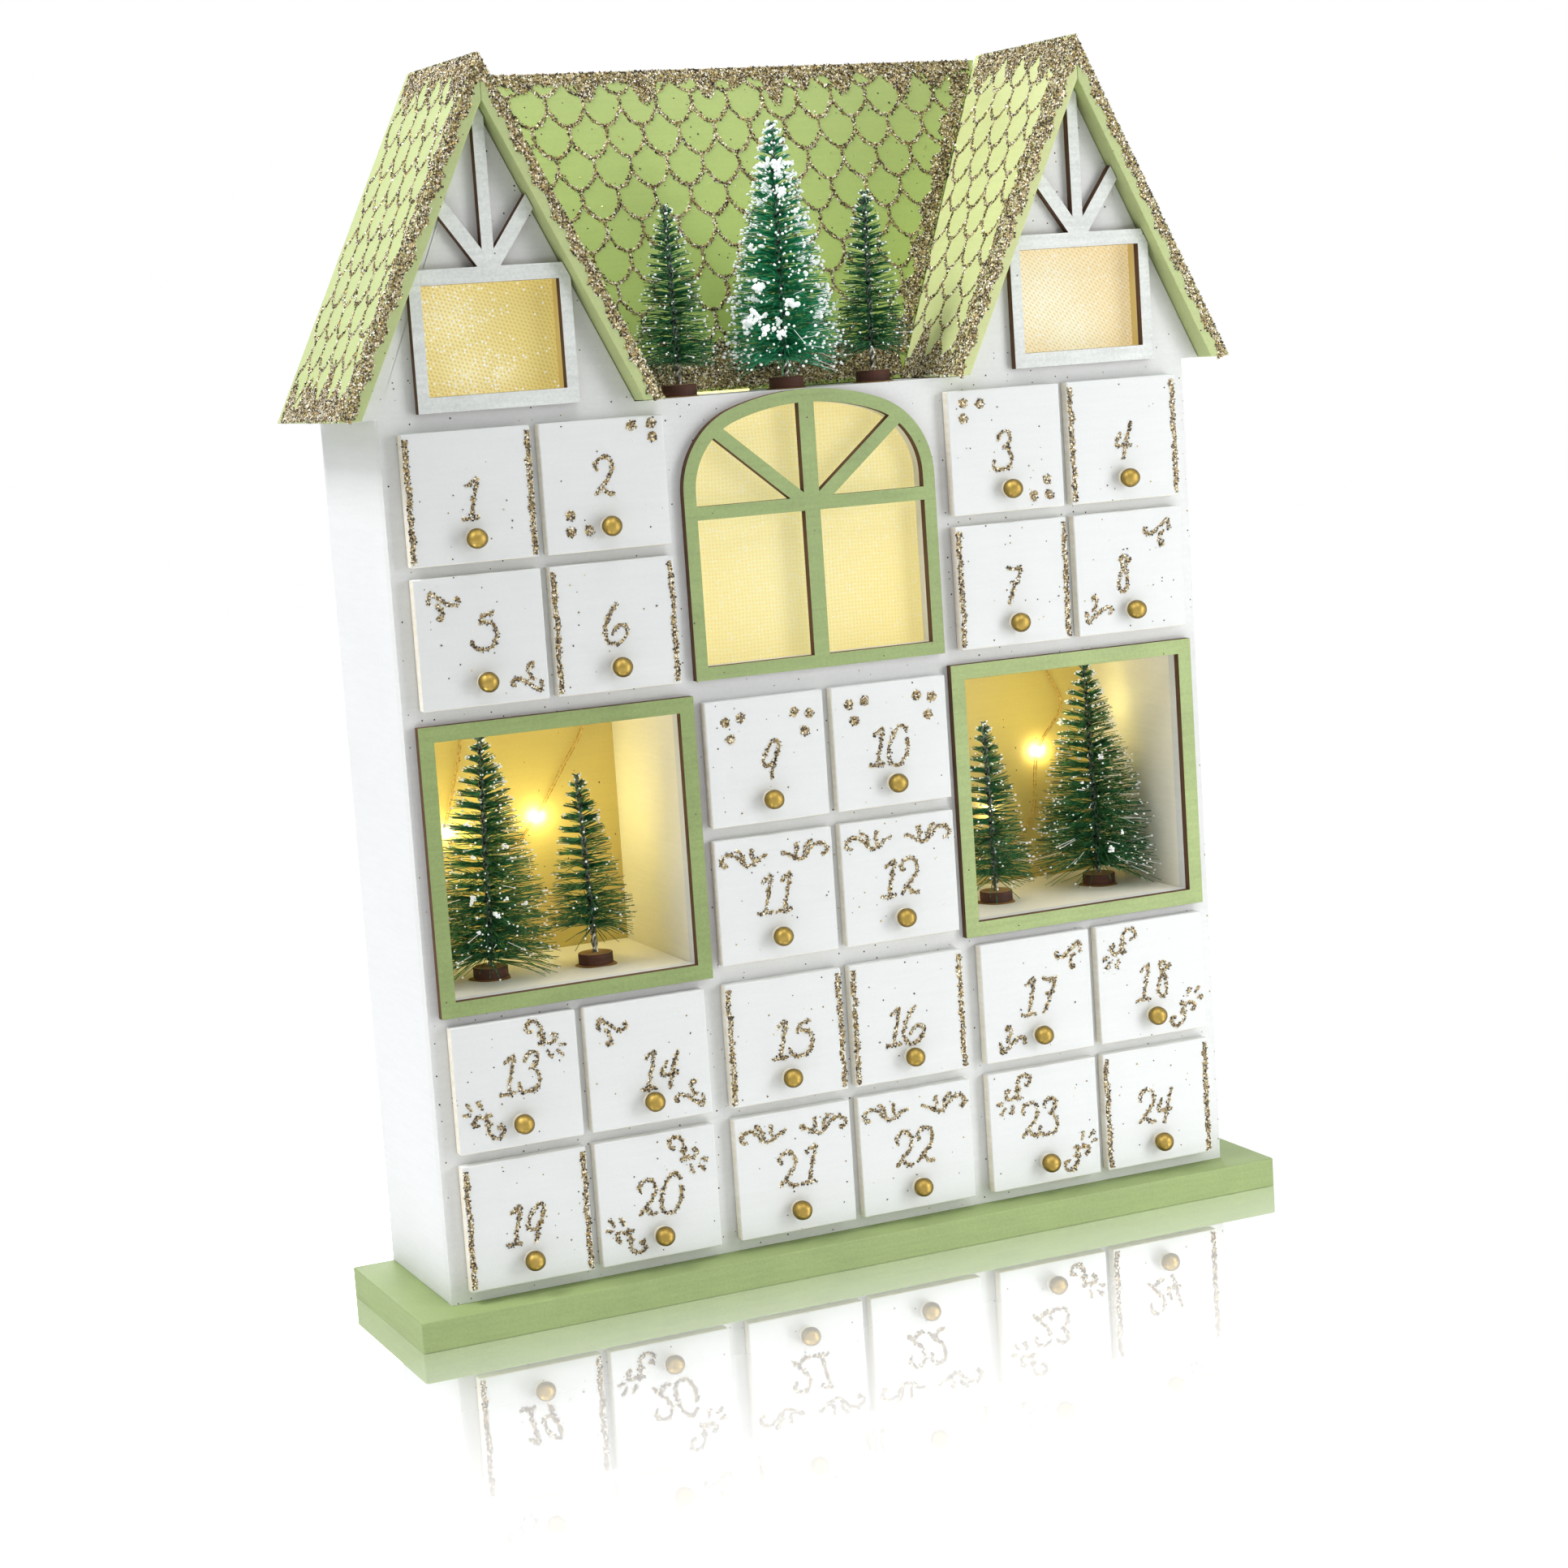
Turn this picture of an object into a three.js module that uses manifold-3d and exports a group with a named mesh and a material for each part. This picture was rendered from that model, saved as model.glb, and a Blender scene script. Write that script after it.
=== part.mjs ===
// A light-up advent calendar: a wooden house front with drawers, two lit dioramas, an arched
// window and two gables on a plinth. Millimetres, +Z up. The front faces -Y.

import * as THREE from "three";
import { mergeVertices } from "three/addons/utils/BufferGeometryUtils.js";
import Module from "manifold-3d";

const wasm = await Module();
wasm.setup();

// Gap left between pieces that meet at a slope, and round loose pieces
const clearance = 0.3;

// Plinth, and the panels of the house
const plinthThick = 10;
const plinthStep = 12.5;
const plinthSide = 14.3;
const houseDeep = 63.5;
const wallThick = 4;
const backThick = 3;
const boardThick = 3;
const wiringGap = 3.5;

// Drawers: a front plate that laps over its opening, and a tray behind it
const plateWide = 42.5;
const plateTall = 41.7;
const plateThick = 4;
const plateLap = 2;
const trayDeep = 50;
const trayWall = 2.5;
const traySidePlay = 0.6;
const trayTopPlay = 0.9;
const knobRadius = 3.4;
const knobHeight = 7.7;
const knobStand = 3.2;
const collarRadius = 2;

// Gaps on the facade: between columns of drawers, and up from the plinth to the eaves
const centreGap = 3.2;
const blockGap = 7.3;
const sideGap = 3;
const edgeGap = 5.8;
const plinthGap = 4.3;
const lowerRowGap = 3.85;
const frameGap = 2.95;
const middleGap = 6.55;
const middleRowGap = 4.3;
const chamberGap = 4.2;
const archGap = 7.2;
const upperGap = 4.9;
const upperRowGap = 3.7;
const eaveGap = 5;

// Dioramas
const windowTall = 83.7;
const windowBorder = 5.1;
const windowInset = 0.9;
const windowOuterInset = 3.1;
const frameThick = 3;
const sleeveWall = 2.4;
const notchWide = 5;
const notches = { left: [-107.6, -62], right: [117] };

// Roof boards over the two gables, and the slope between them
const roofRise = 110.5;
const roofHalf = 54.1;
const roofThick = 6.5;
const roofOverhang = 8;
const ridgeOffset = 12.65;
const centreRoofFoot = 29;
const centreRoofRise = 109.1;
const centreRoofThick = 4.5;

// Arched window: a flat top arc between two shoulder arcs
const archHalf = 45.5;
const archHeadroom = 0.4;
const shoulderRadius = 28;
const crownRadius = 80.5;
const archBorder = 4.3;
const mullionWide = 5.5;
const transomDrop = 8.8;
const transomTall = 4.4;
const ribWide = 4.4;
const ribAngle = THREE.MathUtils.degToRad(40);
const ribHubRise = 0.8;

// Gable windows
const paneHalf = 22.9;
const paneTall = 34.4;
const paneGap = 5.7;
const trimSide = 4;
const trimBorder = 5;
const strutWide = 4;
const braceWide = 4.6;
const braceAngle = THREE.MathUtils.degToRad(54.4);
const braceRise = 1.5;
const braceStart = 2.1;

// Fabric behind the windows
const screenThick = 0.6;
const screenLap = 1.4;

// Bottle-brush trees: their discs and trunks, and for each size its height and its bristles' reach
const discRadius = 5.8;
const discThick = 4;
const trunkFoot = 1.2;
const trunkTip = 0.5;
const strandThick = 0.55;
const tallTree = { height: 80, reach: 20, strands: 80 };
const shortTree = { height: 64, reach: 12, strands: 45 };
const ledgeTallTree = { height: 87, reach: 16, strands: 70 };
const ledgeShortTree = { height: 62, reach: 10.5, strands: 40 };
const ledgeTreeY = 14;

// Battery box, its door and its switch
const cellRadius = 7.25;
const cellLong = 49.2;
const cellNub = 1.3;
const cellNubRadius = 2.75;
const contactThick = 2.4;
const contactWide = 8;
const bayCentre = -11;
const bayRise = 9;
const boxWall = 2;
const doorThick = 2.4;
const pinRadius = 0.8;
const pinLong = 1.8;
const switchGap = 17;
const switchTravel = 4;
const nubWide = 4;
const nubTall = 5;
const flangeThick = 1.2;

// Light string
const wireRadius = 0.6;
const bulbRadius = 2;

// Widths that follow, from the middle outwards
const openingWide = plateWide - 2 * plateLap;
const openingTall = plateTall - 2 * plateLap;
const centreColumn = (centreGap + plateWide) / 2;
const sideStart = centreGap / 2 + plateWide + blockGap;
const innerColumn = sideStart + plateWide / 2;
const outerColumn = innerColumn + plateWide + sideGap;
const sideDivider = (innerColumn + outerColumn) / 2;
const partitionX = sideStart - blockGap / 2;
const windowWide = 2 * plateWide + sideGap - windowInset - windowOuterInset;
const windowCentre = sideStart + windowInset + windowWide / 2;
const ridgeX = sideDivider + ridgeOffset - trimBorder / 2;
const houseWide = 2 * (outerColumn + plateWide / 2 + edgeGap);
const plinthWide = houseWide + 2 * plinthSide;
const sideRackRange = [partitionX + boardThick / 2, houseWide / 2 - wallThick];

// Heights that follow, from the plinth up
const lowerTop = plinthThick + plinthGap + 2 * plateTall + lowerRowGap;
const windowFoot = lowerTop + frameGap + windowBorder;
const windowTop = windowFoot + windowTall;
const floorFoot = windowFoot - boardThick;
const middleTop = lowerTop + middleGap + 2 * plateTall + middleRowGap;
const chamberFloor = middleTop + chamberGap;
const archFoot = middleTop + archGap;
const upperTop = windowTop + windowBorder + upperGap + 2 * plateTall + upperRowGap;
const eaveZ = upperTop + eaveGap;
const ridgeZ = eaveZ + roofRise;
const slope = roofRise / roofHalf;
const centreRoofTop = eaveZ + centreRoofRise;
const wallTop = eaveZ - clearance;
const ledgeFoot = wallTop - boardThick;
const paneFoot = eaveZ + paneGap;
const crownDrop = Math.sqrt((crownRadius - shoulderRadius) ** 2 - (archHalf - shoulderRadius) ** 2);
const archSpring = eaveZ - archHeadroom - crownRadius + crownDrop;
const transomFoot = archSpring - transomDrop;

// Depths that follow. Y is 0 at the facade's front face.
const frontY = plinthStep - (houseDeep + plinthStep) / 2;
const backInside = houseDeep - backThick;
const rackEnd = backInside - wiringGap;

// Battery bay: two cells one above the other, on the back panel's inner face
const cellPitch = 2 * cellRadius + clearance;
const bayWide = cellLong + cellNub + 2 * contactThick + 2 * clearance;
const bayTall = 2 * cellPitch + clearance;
const bayDeep = 2 * (cellRadius + clearance);
const bayFoot = chamberFloor + bayRise;
const bayTop = bayFoot + bayTall;
const bayStart = bayCentre - bayWide / 2;
const bayEnd = bayCentre + bayWide / 2;
const switchX = bayEnd + switchGap;
const switchZ = bayFoot + bayTall / 2;
const flangeHalf = nubWide / 2 + switchTravel + 1;
const hinge = { y: houseDeep - doorThick / 2, z: bayFoot + clearance + doorThick / 2 };

const colours = {
  sage: { color: 0xa6b97a, roughness: 0.7 },
  white: { color: 0xeceef0, roughness: 0.75 },
  plywood: { color: 0xd9bd8c, roughness: 0.8 },
  glitter: { color: 0x8f7a3c, roughness: 0.55, metalness: 0.3 },
  fabric: { color: 0xf6d98c, roughness: 0.9 },
  bristle: { color: 0x1f6b4a, roughness: 0.8 },
  plastic: { color: 0x26282a, roughness: 0.5 },
  cell: { color: 0x8d9296, roughness: 0.35, metalness: 0.8 },
  wire: { color: 0x6d7a5c, roughness: 0.5 },
};

function toSolid(geometry) {
  geometry.deleteAttribute("normal");
  geometry.deleteAttribute("uv");
  const merged = mergeVertices(geometry, 1e-4);
  const vertProperties = new Float32Array(merged.attributes.position.array);
  const triVerts = new Uint32Array(merged.index.array);
  return new wasm.Manifold(new wasm.Mesh({ numProp: 3, vertProperties, triVerts }));
}

function toMesh(name, solid, finish) {
  const { vertProperties, triVerts } = solid.getMesh();
  const geometry = new THREE.BufferGeometry();
  geometry.setAttribute("position", new THREE.BufferAttribute(vertProperties, 3));
  geometry.setIndex(new THREE.BufferAttribute(triVerts, 1));
  geometry.computeVertexNormals();
  const mesh = new THREE.Mesh(geometry, new THREE.MeshStandardMaterial(finish));
  mesh.name = name;
  return mesh;
}

function join(solids) {
  return solids.reduce((sum, solid) => sum.add(solid));
}

function block([x0, x1], [y0, y1], [z0, z1]) {
  const geometry = new THREE.BoxGeometry(x1 - x0, y1 - y0, z1 - z0);
  geometry.translate((x0 + x1) / 2, (y0 + y1) / 2, (z0 + z1) / 2);
  return toSolid(geometry);
}

function around(centre, half) {
  return [centre - half, centre + half];
}

// An outline drawn in X and Z, made into a plate between two Y values
function upright(shape, [front, back]) {
  const depth = back - front;
  const geometry = new THREE.ExtrudeGeometry(shape, { depth, bevelEnabled: false, curveSegments: 8 });
  geometry.rotateX(Math.PI / 2);
  geometry.translate(0, back, 0);
  return toSolid(geometry);
}

// A profile drawn in Y and Z, made into a bar between two X values
function crosswise(shape, [start, end]) {
  const depth = end - start;
  const geometry = new THREE.ExtrudeGeometry(shape, { depth, bevelEnabled: false, curveSegments: 8 });
  geometry.rotateZ(Math.PI / 2);
  geometry.rotateY(Math.PI / 2);
  geometry.translate(start, 0, 0);
  return toSolid(geometry);
}

function polygon(points) {
  return new THREE.Shape(points.map(([x, y]) => new THREE.Vector2(x, y)));
}

function rectangle([x0, x1], [z0, z1]) {
  return polygon([[x0, z0], [x1, z0], [x1, z1], [x0, z1]]);
}

// The triangle under a gable's boards, kept clear of them
function underGable() {
  const drop = (roofThick + clearance) * Math.hypot(1, slope);
  return { top: ridgeZ - drop, half: roofHalf - drop / slope };
}

// Half the width between the gables' outer slopes, kept clear of them
function valleyHalf(z) {
  return ridgeX - (ridgeZ - z) / slope - (clearance * Math.hypot(1, slope)) / slope;
}

function houseOutline() {
  const gable = underGable();
  const right = [
    [houseWide / 2, plinthThick],
    [houseWide / 2, eaveZ],
    [ridgeX + gable.half, eaveZ],
    [ridgeX, gable.top],
    [ridgeX - gable.half, eaveZ],
    [ridgeX - gable.half, wallTop],
  ];
  const left = right.map(([x, z]) => [-x, z]).reverse();
  return polygon([...right, ...left]);
}

function archOutline(inset) {
  const half = archHalf - inset;
  const shoulder = shoulderRadius - inset;
  const crown = crownRadius - inset;
  const shoulderX = half - shoulder;
  const turn = Math.atan2(crownDrop, shoulderX);
  const shape = new THREE.Shape();
  shape.moveTo(-half, archFoot + inset);
  shape.lineTo(half, archFoot + inset);
  shape.lineTo(half, archSpring);
  shape.absarc(shoulderX, archSpring, shoulder, 0, turn, false);
  shape.absarc(0, archSpring - crownDrop, crown, turn, Math.PI - turn, false);
  shape.absarc(-shoulderX, archSpring, shoulder, Math.PI - turn, Math.PI, false);
  shape.closePath();
  return shape;
}

const sideColumns = [-outerColumn, -innerColumn, innerColumn, outerColumn];
const centreColumns = [-centreColumn, centreColumn];
const allColumns = [...sideColumns, ...centreColumns].sort((a, b) => a - b);
const drawerRows = [
  { top: upperTop, columns: sideColumns },
  { top: upperTop - plateTall - upperRowGap, columns: sideColumns },
  { top: middleTop, columns: centreColumns },
  { top: middleTop - plateTall - middleRowGap, columns: centreColumns },
  { top: lowerTop, columns: allColumns },
  { top: lowerTop - plateTall - lowerRowGap, columns: allColumns },
];
const drawerPlaces = drawerRows.flatMap(({ top, columns }) => columns.map((x) => ({ x, z: top - plateTall })));

// Top face of the board that carries a row's trays
function shelfTop(rowTop) {
  return rowTop - plateTall + plateLap;
}

function facadeSolid() {
  const through = [-1, wallThick + 1];
  const cuts = drawerPlaces.map(({ x, z }) => {
    const foot = z + plateLap;
    return block(around(x, openingWide / 2), through, [foot, foot + openingTall]);
  });
  for (const side of [-1, 1]) {
    cuts.push(block(around(side * windowCentre, windowWide / 2), through, [windowFoot, windowTop]));
    cuts.push(block(around(side * ridgeX, paneHalf), through, [paneFoot, paneFoot + paneTall]));
  }
  cuts.push(upright(archOutline(archBorder), through));
  return upright(houseOutline(), [0, wallThick]).subtract(join(cuts));
}

// Height of the centre roof's underside at a depth
const centreSlope = (centreRoofTop - eaveZ) / (houseDeep - centreRoofFoot);
const centreRoofSide = (centreRoofThick * Math.hypot(1, centreSlope)) / centreSlope;

function underCentreRoof(y) {
  return eaveZ + (y - centreRoofFoot - centreRoofSide) * centreSlope;
}

function backSolid() {
  const top = underCentreRoof(backInside) - 3 * clearance;
  const bottom = ledgeFoot;
  const middle = polygon([
    [-valleyHalf(bottom), bottom],
    [valleyHalf(bottom), bottom],
    [valleyHalf(top), top],
    [-valleyHalf(top), top],
  ]);
  const range = [backInside, houseDeep];
  const sheet = upright(houseOutline(), range).add(upright(middle, range));
  const beyond = [backInside - 1, houseDeep + 1];
  const batteryOpening = block([bayStart, bayEnd], beyond, [bayFoot, bayTop]);
  const pinRange = [bayStart - pinLong - clearance, bayEnd + pinLong + clearance];
  const pinSlot = block(
    pinRange,
    [backInside - 1, hinge.y + pinRadius + clearance],
    around(hinge.z, pinRadius + clearance),
  );
  const slotHalf = (nubWide + switchTravel) / 2 + clearance;
  const switchSlot = block(around(switchX, slotHalf), beyond, around(switchZ, nubTall / 2 + clearance));
  return sheet.subtract(batteryOpening).subtract(pinSlot).subtract(switchSlot);
}

function roofBoard(ridge, side) {
  const drop = roofThick * Math.hypot(1, slope);
  const eave = ridge + side * roofHalf;
  const profile = polygon([
    [eave, eaveZ],
    [ridge, ridgeZ],
    [ridge, ridgeZ - drop],
    [eave - (side * drop) / slope, eaveZ],
  ]);
  return upright(profile, [-roofOverhang, houseDeep]);
}

function centreRoofSolid() {
  const profile = polygon([
    [centreRoofFoot, eaveZ],
    [centreRoofFoot + centreRoofSide, eaveZ],
    [houseDeep, underCentreRoof(houseDeep)],
    [houseDeep, centreRoofTop],
  ]);
  const widest = valleyHalf(centreRoofTop);
  const valley = polygon([
    [-valleyHalf(eaveZ), eaveZ],
    [valleyHalf(eaveZ), eaveZ],
    [widest, centreRoofTop],
    [-widest, centreRoofTop],
  ]);
  return crosswise(profile, [-widest, widest]).intersect(upright(valley, [0, houseDeep]));
}

// Horizontal boards with one upright divider through them
function rackSolid(range, boardTops, divider, dividerFoot) {
  const deep = [wallThick, rackEnd];
  const boards = boardTops.map((top) => block(range, deep, [top - boardThick, top]));
  const wall = block(around(divider, boardThick / 2), deep, [dividerFoot, Math.max(...boardTops)]);
  return join([wall, ...boards]);
}

function mirrored([start, end], side) {
  return side > 0 ? [start, end] : [-end, -start];
}

function shelvesFor(rows) {
  return rows.map((row) => shelfTop(drawerRows[row].top));
}

function upperRack(side) {
  const shelves = shelvesFor([0, 1]);
  const foot = Math.min(...shelves) - boardThick;
  return rackSolid(mirrored(sideRackRange, side), [ledgeFoot, ...shelves], side * sideDivider, foot);
}

function lowerRack(side) {
  const tops = [floorFoot, ...shelvesFor([4, 5])];
  return rackSolid(mirrored(sideRackRange, side), tops, side * sideDivider, plinthThick);
}

function centreRack() {
  const tops = [chamberFloor, ...shelvesFor([2, 3, 4, 5])];
  return rackSolid(around(0, partitionX - boardThick / 2), tops, 0, plinthThick);
}

function drawerSolid() {
  const face = -clearance - plateThick;
  const plate = block(around(0, plateWide / 2), [face, -clearance], [0, plateTall]);
  const half = openingWide / 2 - traySidePlay;
  const foot = plateLap + clearance;
  const rim = plateLap + openingTall - trayTopPlay;
  const tray = block(around(0, half), [-clearance - 1, trayDeep], [foot, rim]);
  const inside = [trayWall - clearance, trayDeep - trayWall];
  const hollow = block(around(0, half - trayWall), inside, [foot + trayWall, rim + 1]);
  const ball = new THREE.SphereGeometry(knobRadius, 10, 7);
  ball.translate(0, face - knobStand, knobHeight);
  const collar = new THREE.CylinderGeometry(collarRadius, collarRadius, knobStand, 10);
  collar.translate(0, face - knobStand / 2 + clearance, knobHeight);
  return join([plate, tray]).subtract(hollow).add(toSolid(ball)).add(toSolid(collar));
}

function dioramaSleeve(side, places) {
  const centre = side * windowCentre;
  const deep = [wallThick, backInside];
  const half = windowWide / 2;
  const outside = block(around(centre, half + sleeveWall), deep, [floorFoot, windowTop + sleeveWall]);
  const inside = block(around(centre, half), [0, houseDeep], [floorFoot - 1, windowTop]);
  const beyond = [windowTop - 1, windowTop + sleeveWall + 1];
  const cuts = places.map((x) => block(around(x, notchWide / 2), [rackEnd, houseDeep], beyond));
  return outside.subtract(join([inside, ...cuts]));
}

function dioramaFrame() {
  const wide = windowWide / 2 + windowBorder;
  const tall = [windowFoot - windowBorder, windowTop + windowBorder];
  const board = block(around(0, wide), [-frameThick, 0], tall);
  return board.subtract(block(around(0, windowWide / 2), [-frameThick - 1, 1], [windowFoot, windowTop]));
}

// A straight bar from a point, at an angle from the X axis
function slantedBar([x, z], angle, wide, long) {
  const along = [Math.cos(angle), Math.sin(angle)];
  const across = [(-along[1] * wide) / 2, (along[0] * wide) / 2];
  const corner = (reach, side) => [
    x + along[0] * reach + across[0] * side,
    z + along[1] * reach + across[1] * side,
  ];
  return polygon([corner(0, -1), corner(long, -1), corner(long, 1), corner(0, 1)]);
}

function archFrame() {
  const range = [-frameThick, 0];
  const outer = upright(archOutline(0), range);
  const inner = upright(archOutline(archBorder), [-frameThick - 1, 1]);
  const ribLong = archHalf + archSpring - archFoot;
  const hub = [0, transomFoot + ribHubRise];
  const bars = [
    rectangle(around(0, mullionWide / 2), [archFoot, archFoot + 2 * ribLong]),
    rectangle(around(0, archHalf), [transomFoot, transomFoot + transomTall]),
    slantedBar(hub, ribAngle, ribWide, ribLong),
    slantedBar(hub, Math.PI - ribAngle, ribWide, ribLong),
  ];
  const grille = join(bars.map((bar) => upright(bar, range))).intersect(outer);
  return outer.subtract(inner).add(grille);
}

function gableTrim() {
  const range = [-frameThick, 0];
  const foot = paneFoot - trimBorder;
  const top = paneFoot + paneTall + trimBorder;
  const pane = block(around(0, paneHalf), [-frameThick - 1, 1], [paneFoot, paneFoot + paneTall]);
  const gable = underGable();
  const brace = (side) => {
    const angle = side > 0 ? braceAngle : Math.PI - braceAngle;
    return slantedBar([side * braceStart, top + braceRise], angle, braceWide, gable.half);
  };
  const bars = [
    rectangle(around(0, paneHalf + trimSide), [foot, top]),
    rectangle(around(0, strutWide / 2), [top - 1, gable.top]),
    brace(-1),
    brace(1),
  ];
  const triangle = polygon([[-gable.half, eaveZ], [gable.half, eaveZ], [0, gable.top]]);
  return join(bars.map((bar) => upright(bar, range))).subtract(pane).intersect(upright(triangle, range));
}

function screen(half, [foot, top]) {
  const deep = [wallThick, wallThick + screenThick];
  return block(around(0, half + screenLap), deep, [foot - screenLap, top + screenLap]);
}

// How far a strand may reach before it meets the room's walls
function reachInside(room, root, direction, wanted) {
  let reach = wanted;
  for (const axis of ["x", "y", "z"]) {
    const limit = direction[axis] > 0 ? room.max[axis] : room.min[axis];
    const distance = (limit - root[axis]) / direction[axis];
    if (Math.abs(direction[axis]) > 1e-6) reach = Math.min(reach, distance);
  }
  return reach;
}

// A wooden disc, a twisted trunk and pointed strands that climb round it by the golden angle
function brushTree({ x, y, foot, height, reach, strands, lean }, room) {
  const disc = new THREE.CylinderGeometry(discRadius, discRadius, discThick + 1, 16);
  disc.rotateX(Math.PI / 2);
  disc.translate(x, y, foot + (discThick - 1) / 2);
  const start = new THREE.Vector3(x, y, foot + discThick / 2);
  const tip = new THREE.Vector3(x + lean, y, foot + height);
  const axis = tip.clone().sub(start);
  const upwards = new THREE.Vector3(0, 1, 0);
  const trunk = new THREE.CylinderGeometry(trunkTip, trunkFoot, axis.length(), 6);
  trunk.translate(0, axis.length() / 2, 0);
  const turn = new THREE.Quaternion().setFromUnitVectors(upwards, axis.clone().normalize());
  trunk.applyQuaternion(turn);
  trunk.translate(start.x, start.y, start.z);
  const solids = [toSolid(disc), toSolid(trunk)];
  const golden = Math.PI * (3 - Math.sqrt(5));
  for (let i = 0; i < strands; i += 1) {
    const share = (i + 0.5) / strands;
    const root = start.clone().lerp(tip, 0.09 + 0.88 * share);
    const tilt = THREE.MathUtils.degToRad(8 + 30 * share);
    const bearing = i * golden;
    const direction = new THREE.Vector3(
      Math.cos(bearing) * Math.cos(tilt),
      Math.sin(bearing) * Math.cos(tilt),
      Math.sin(tilt),
    );
    const spread = reach * (1 - share) ** 0.75 * (0.9 + 0.1 * Math.sin(i * 2.4)) + 2;
    const long = reachInside(room, root, direction, spread / Math.cos(tilt));
    const strand = new THREE.ConeGeometry(strandThick, long, 3);
    strand.translate(0, long / 2, 0);
    strand.applyQuaternion(new THREE.Quaternion().setFromUnitVectors(upwards, direction));
    strand.translate(root.x, root.y, root.z);
    solids.push(toSolid(strand));
  }
  return solids;
}

// Where each tree stands, from its diorama's middle or along the ledge, and how far its tip leans
const dioramaTrees = {
  left: [
    { ...tallTree, offset: -19.2, y: 27, lean: 3 },
    { ...shortTree, offset: 16.3, y: 24, lean: -1.9 },
  ],
  right: [
    { ...shortTree, offset: -19.3, y: 27, lean: -1.1 },
    { ...tallTree, offset: 24.7, y: 31, lean: -1.4 },
  ],
};
const ledgeTrees = [
  { ...ledgeShortTree, x: -37.5, lean: 1 },
  { ...ledgeTallTree, x: 1.2, lean: -1 },
  { ...ledgeShortTree, x: 33.2, lean: 1 },
];

// The diorama's floor board with its trees, whose strands stop short of the walls and the window
function dioramaTreesSolid(side, trees) {
  const centre = side * windowCentre;
  const half = windowWide / 2 - clearance;
  const floor = block(around(centre, half), [wallThick, backInside - clearance], [floorFoot, windowFoot]);
  const room = {
    min: new THREE.Vector3(centre - half + 1, wallThick + 4.5, windowFoot),
    max: new THREE.Vector3(centre + half - 1, rackEnd - 1, windowTop - 1),
  };
  const placed = trees.map((tree) => ({ ...tree, x: centre + tree.offset, foot: windowFoot }));
  return wasm.Manifold.union([floor, ...placed.flatMap((tree) => brushTree(tree, room))]);
}

function ledgeSolid() {
  const half = sideStart + plateThick + boardThick / 2;
  const ledge = block(around(0, half), [wallThick, rackEnd], [ledgeFoot, wallTop]);
  const room = {
    min: new THREE.Vector3(-half, -plinthStep, wallTop),
    max: new THREE.Vector3(half, centreRoofFoot - 1, centreRoofTop),
  };
  const trees = ledgeTrees.flatMap((tree) => brushTree({ ...tree, y: ledgeTreeY, foot: wallTop }, room));
  return wasm.Manifold.union([ledge, ...trees]);
}

function batteryBox() {
  const back = [backInside - bayDeep - boxWall, backInside];
  const body = block([bayStart - boxWall, bayEnd + boxWall], back, [bayFoot - boxWall, bayTop + boxWall]);
  const bay = block([bayStart, bayEnd], [backInside - bayDeep, houseDeep], [bayFoot, bayTop]);
  const pocketHalf = flangeHalf + switchTravel / 2 + clearance;
  const pocketTall = nubTall / 2 + 1 + 2 * clearance;
  const pocketBack = backInside - flangeThick - 2 * clearance;
  const housing = block(
    [bayEnd, switchX + pocketHalf + boxWall],
    [pocketBack - boxWall, backInside],
    around(switchZ, pocketTall + boxWall),
  );
  const pocket = block(around(switchX, pocketHalf), [pocketBack, houseDeep], around(switchZ, pocketTall));
  const contactY = around(backInside - bayDeep / 2, contactWide / 2);
  const contacts = [0, 1].flatMap((level) => {
    const tall = around(bayFoot + clearance + cellRadius + level * cellPitch, contactWide / 2);
    return [
      block([bayStart - 1, bayStart + contactThick], contactY, tall),
      block([bayEnd - contactThick, bayEnd + 1], contactY, tall),
    ];
  });
  return join([body.subtract(bay), housing.subtract(bay), ...contacts]).subtract(pocket);
}

function batteryDoor() {
  const half = doorThick / 2;
  const profile = new THREE.Shape();
  profile.moveTo(hinge.y + half, hinge.z);
  profile.lineTo(hinge.y + half, bayTop - clearance);
  profile.lineTo(hinge.y - half, bayTop - clearance);
  profile.lineTo(hinge.y - half, hinge.z);
  profile.absarc(hinge.y, hinge.z, half, Math.PI, 2 * Math.PI, false);
  const leaf = crosswise(profile, [bayStart + clearance, bayEnd - clearance]);
  const pins = new THREE.Shape().absarc(hinge.y, hinge.z, pinRadius, 0, 2 * Math.PI, false);
  return leaf.add(crosswise(pins, [bayStart - pinLong, bayEnd + pinLong]));
}

function cellSolid(direction) {
  const outline = [
    [0, 0],
    [cellRadius, 0],
    [cellRadius, cellLong],
    [cellNubRadius, cellLong],
    [cellNubRadius, cellLong + cellNub],
    [0, cellLong + cellNub],
  ];
  const cell = new THREE.LatheGeometry(outline.map(([r, y]) => new THREE.Vector2(r, y)), 16);
  cell.translate(0, -(cellLong + cellNub) / 2, 0);
  cell.rotateZ((-direction * Math.PI) / 2);
  return toSolid(cell);
}

function switchSlider() {
  const face = backInside - clearance;
  const flange = block(around(0, flangeHalf), [face - flangeThick, face], around(0, nubTall / 2 + 1));
  const nub = block(around(0, nubWide / 2), [face - 1, houseDeep - clearance], around(0, nubTall / 2));
  return flange.add(nub);
}

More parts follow.
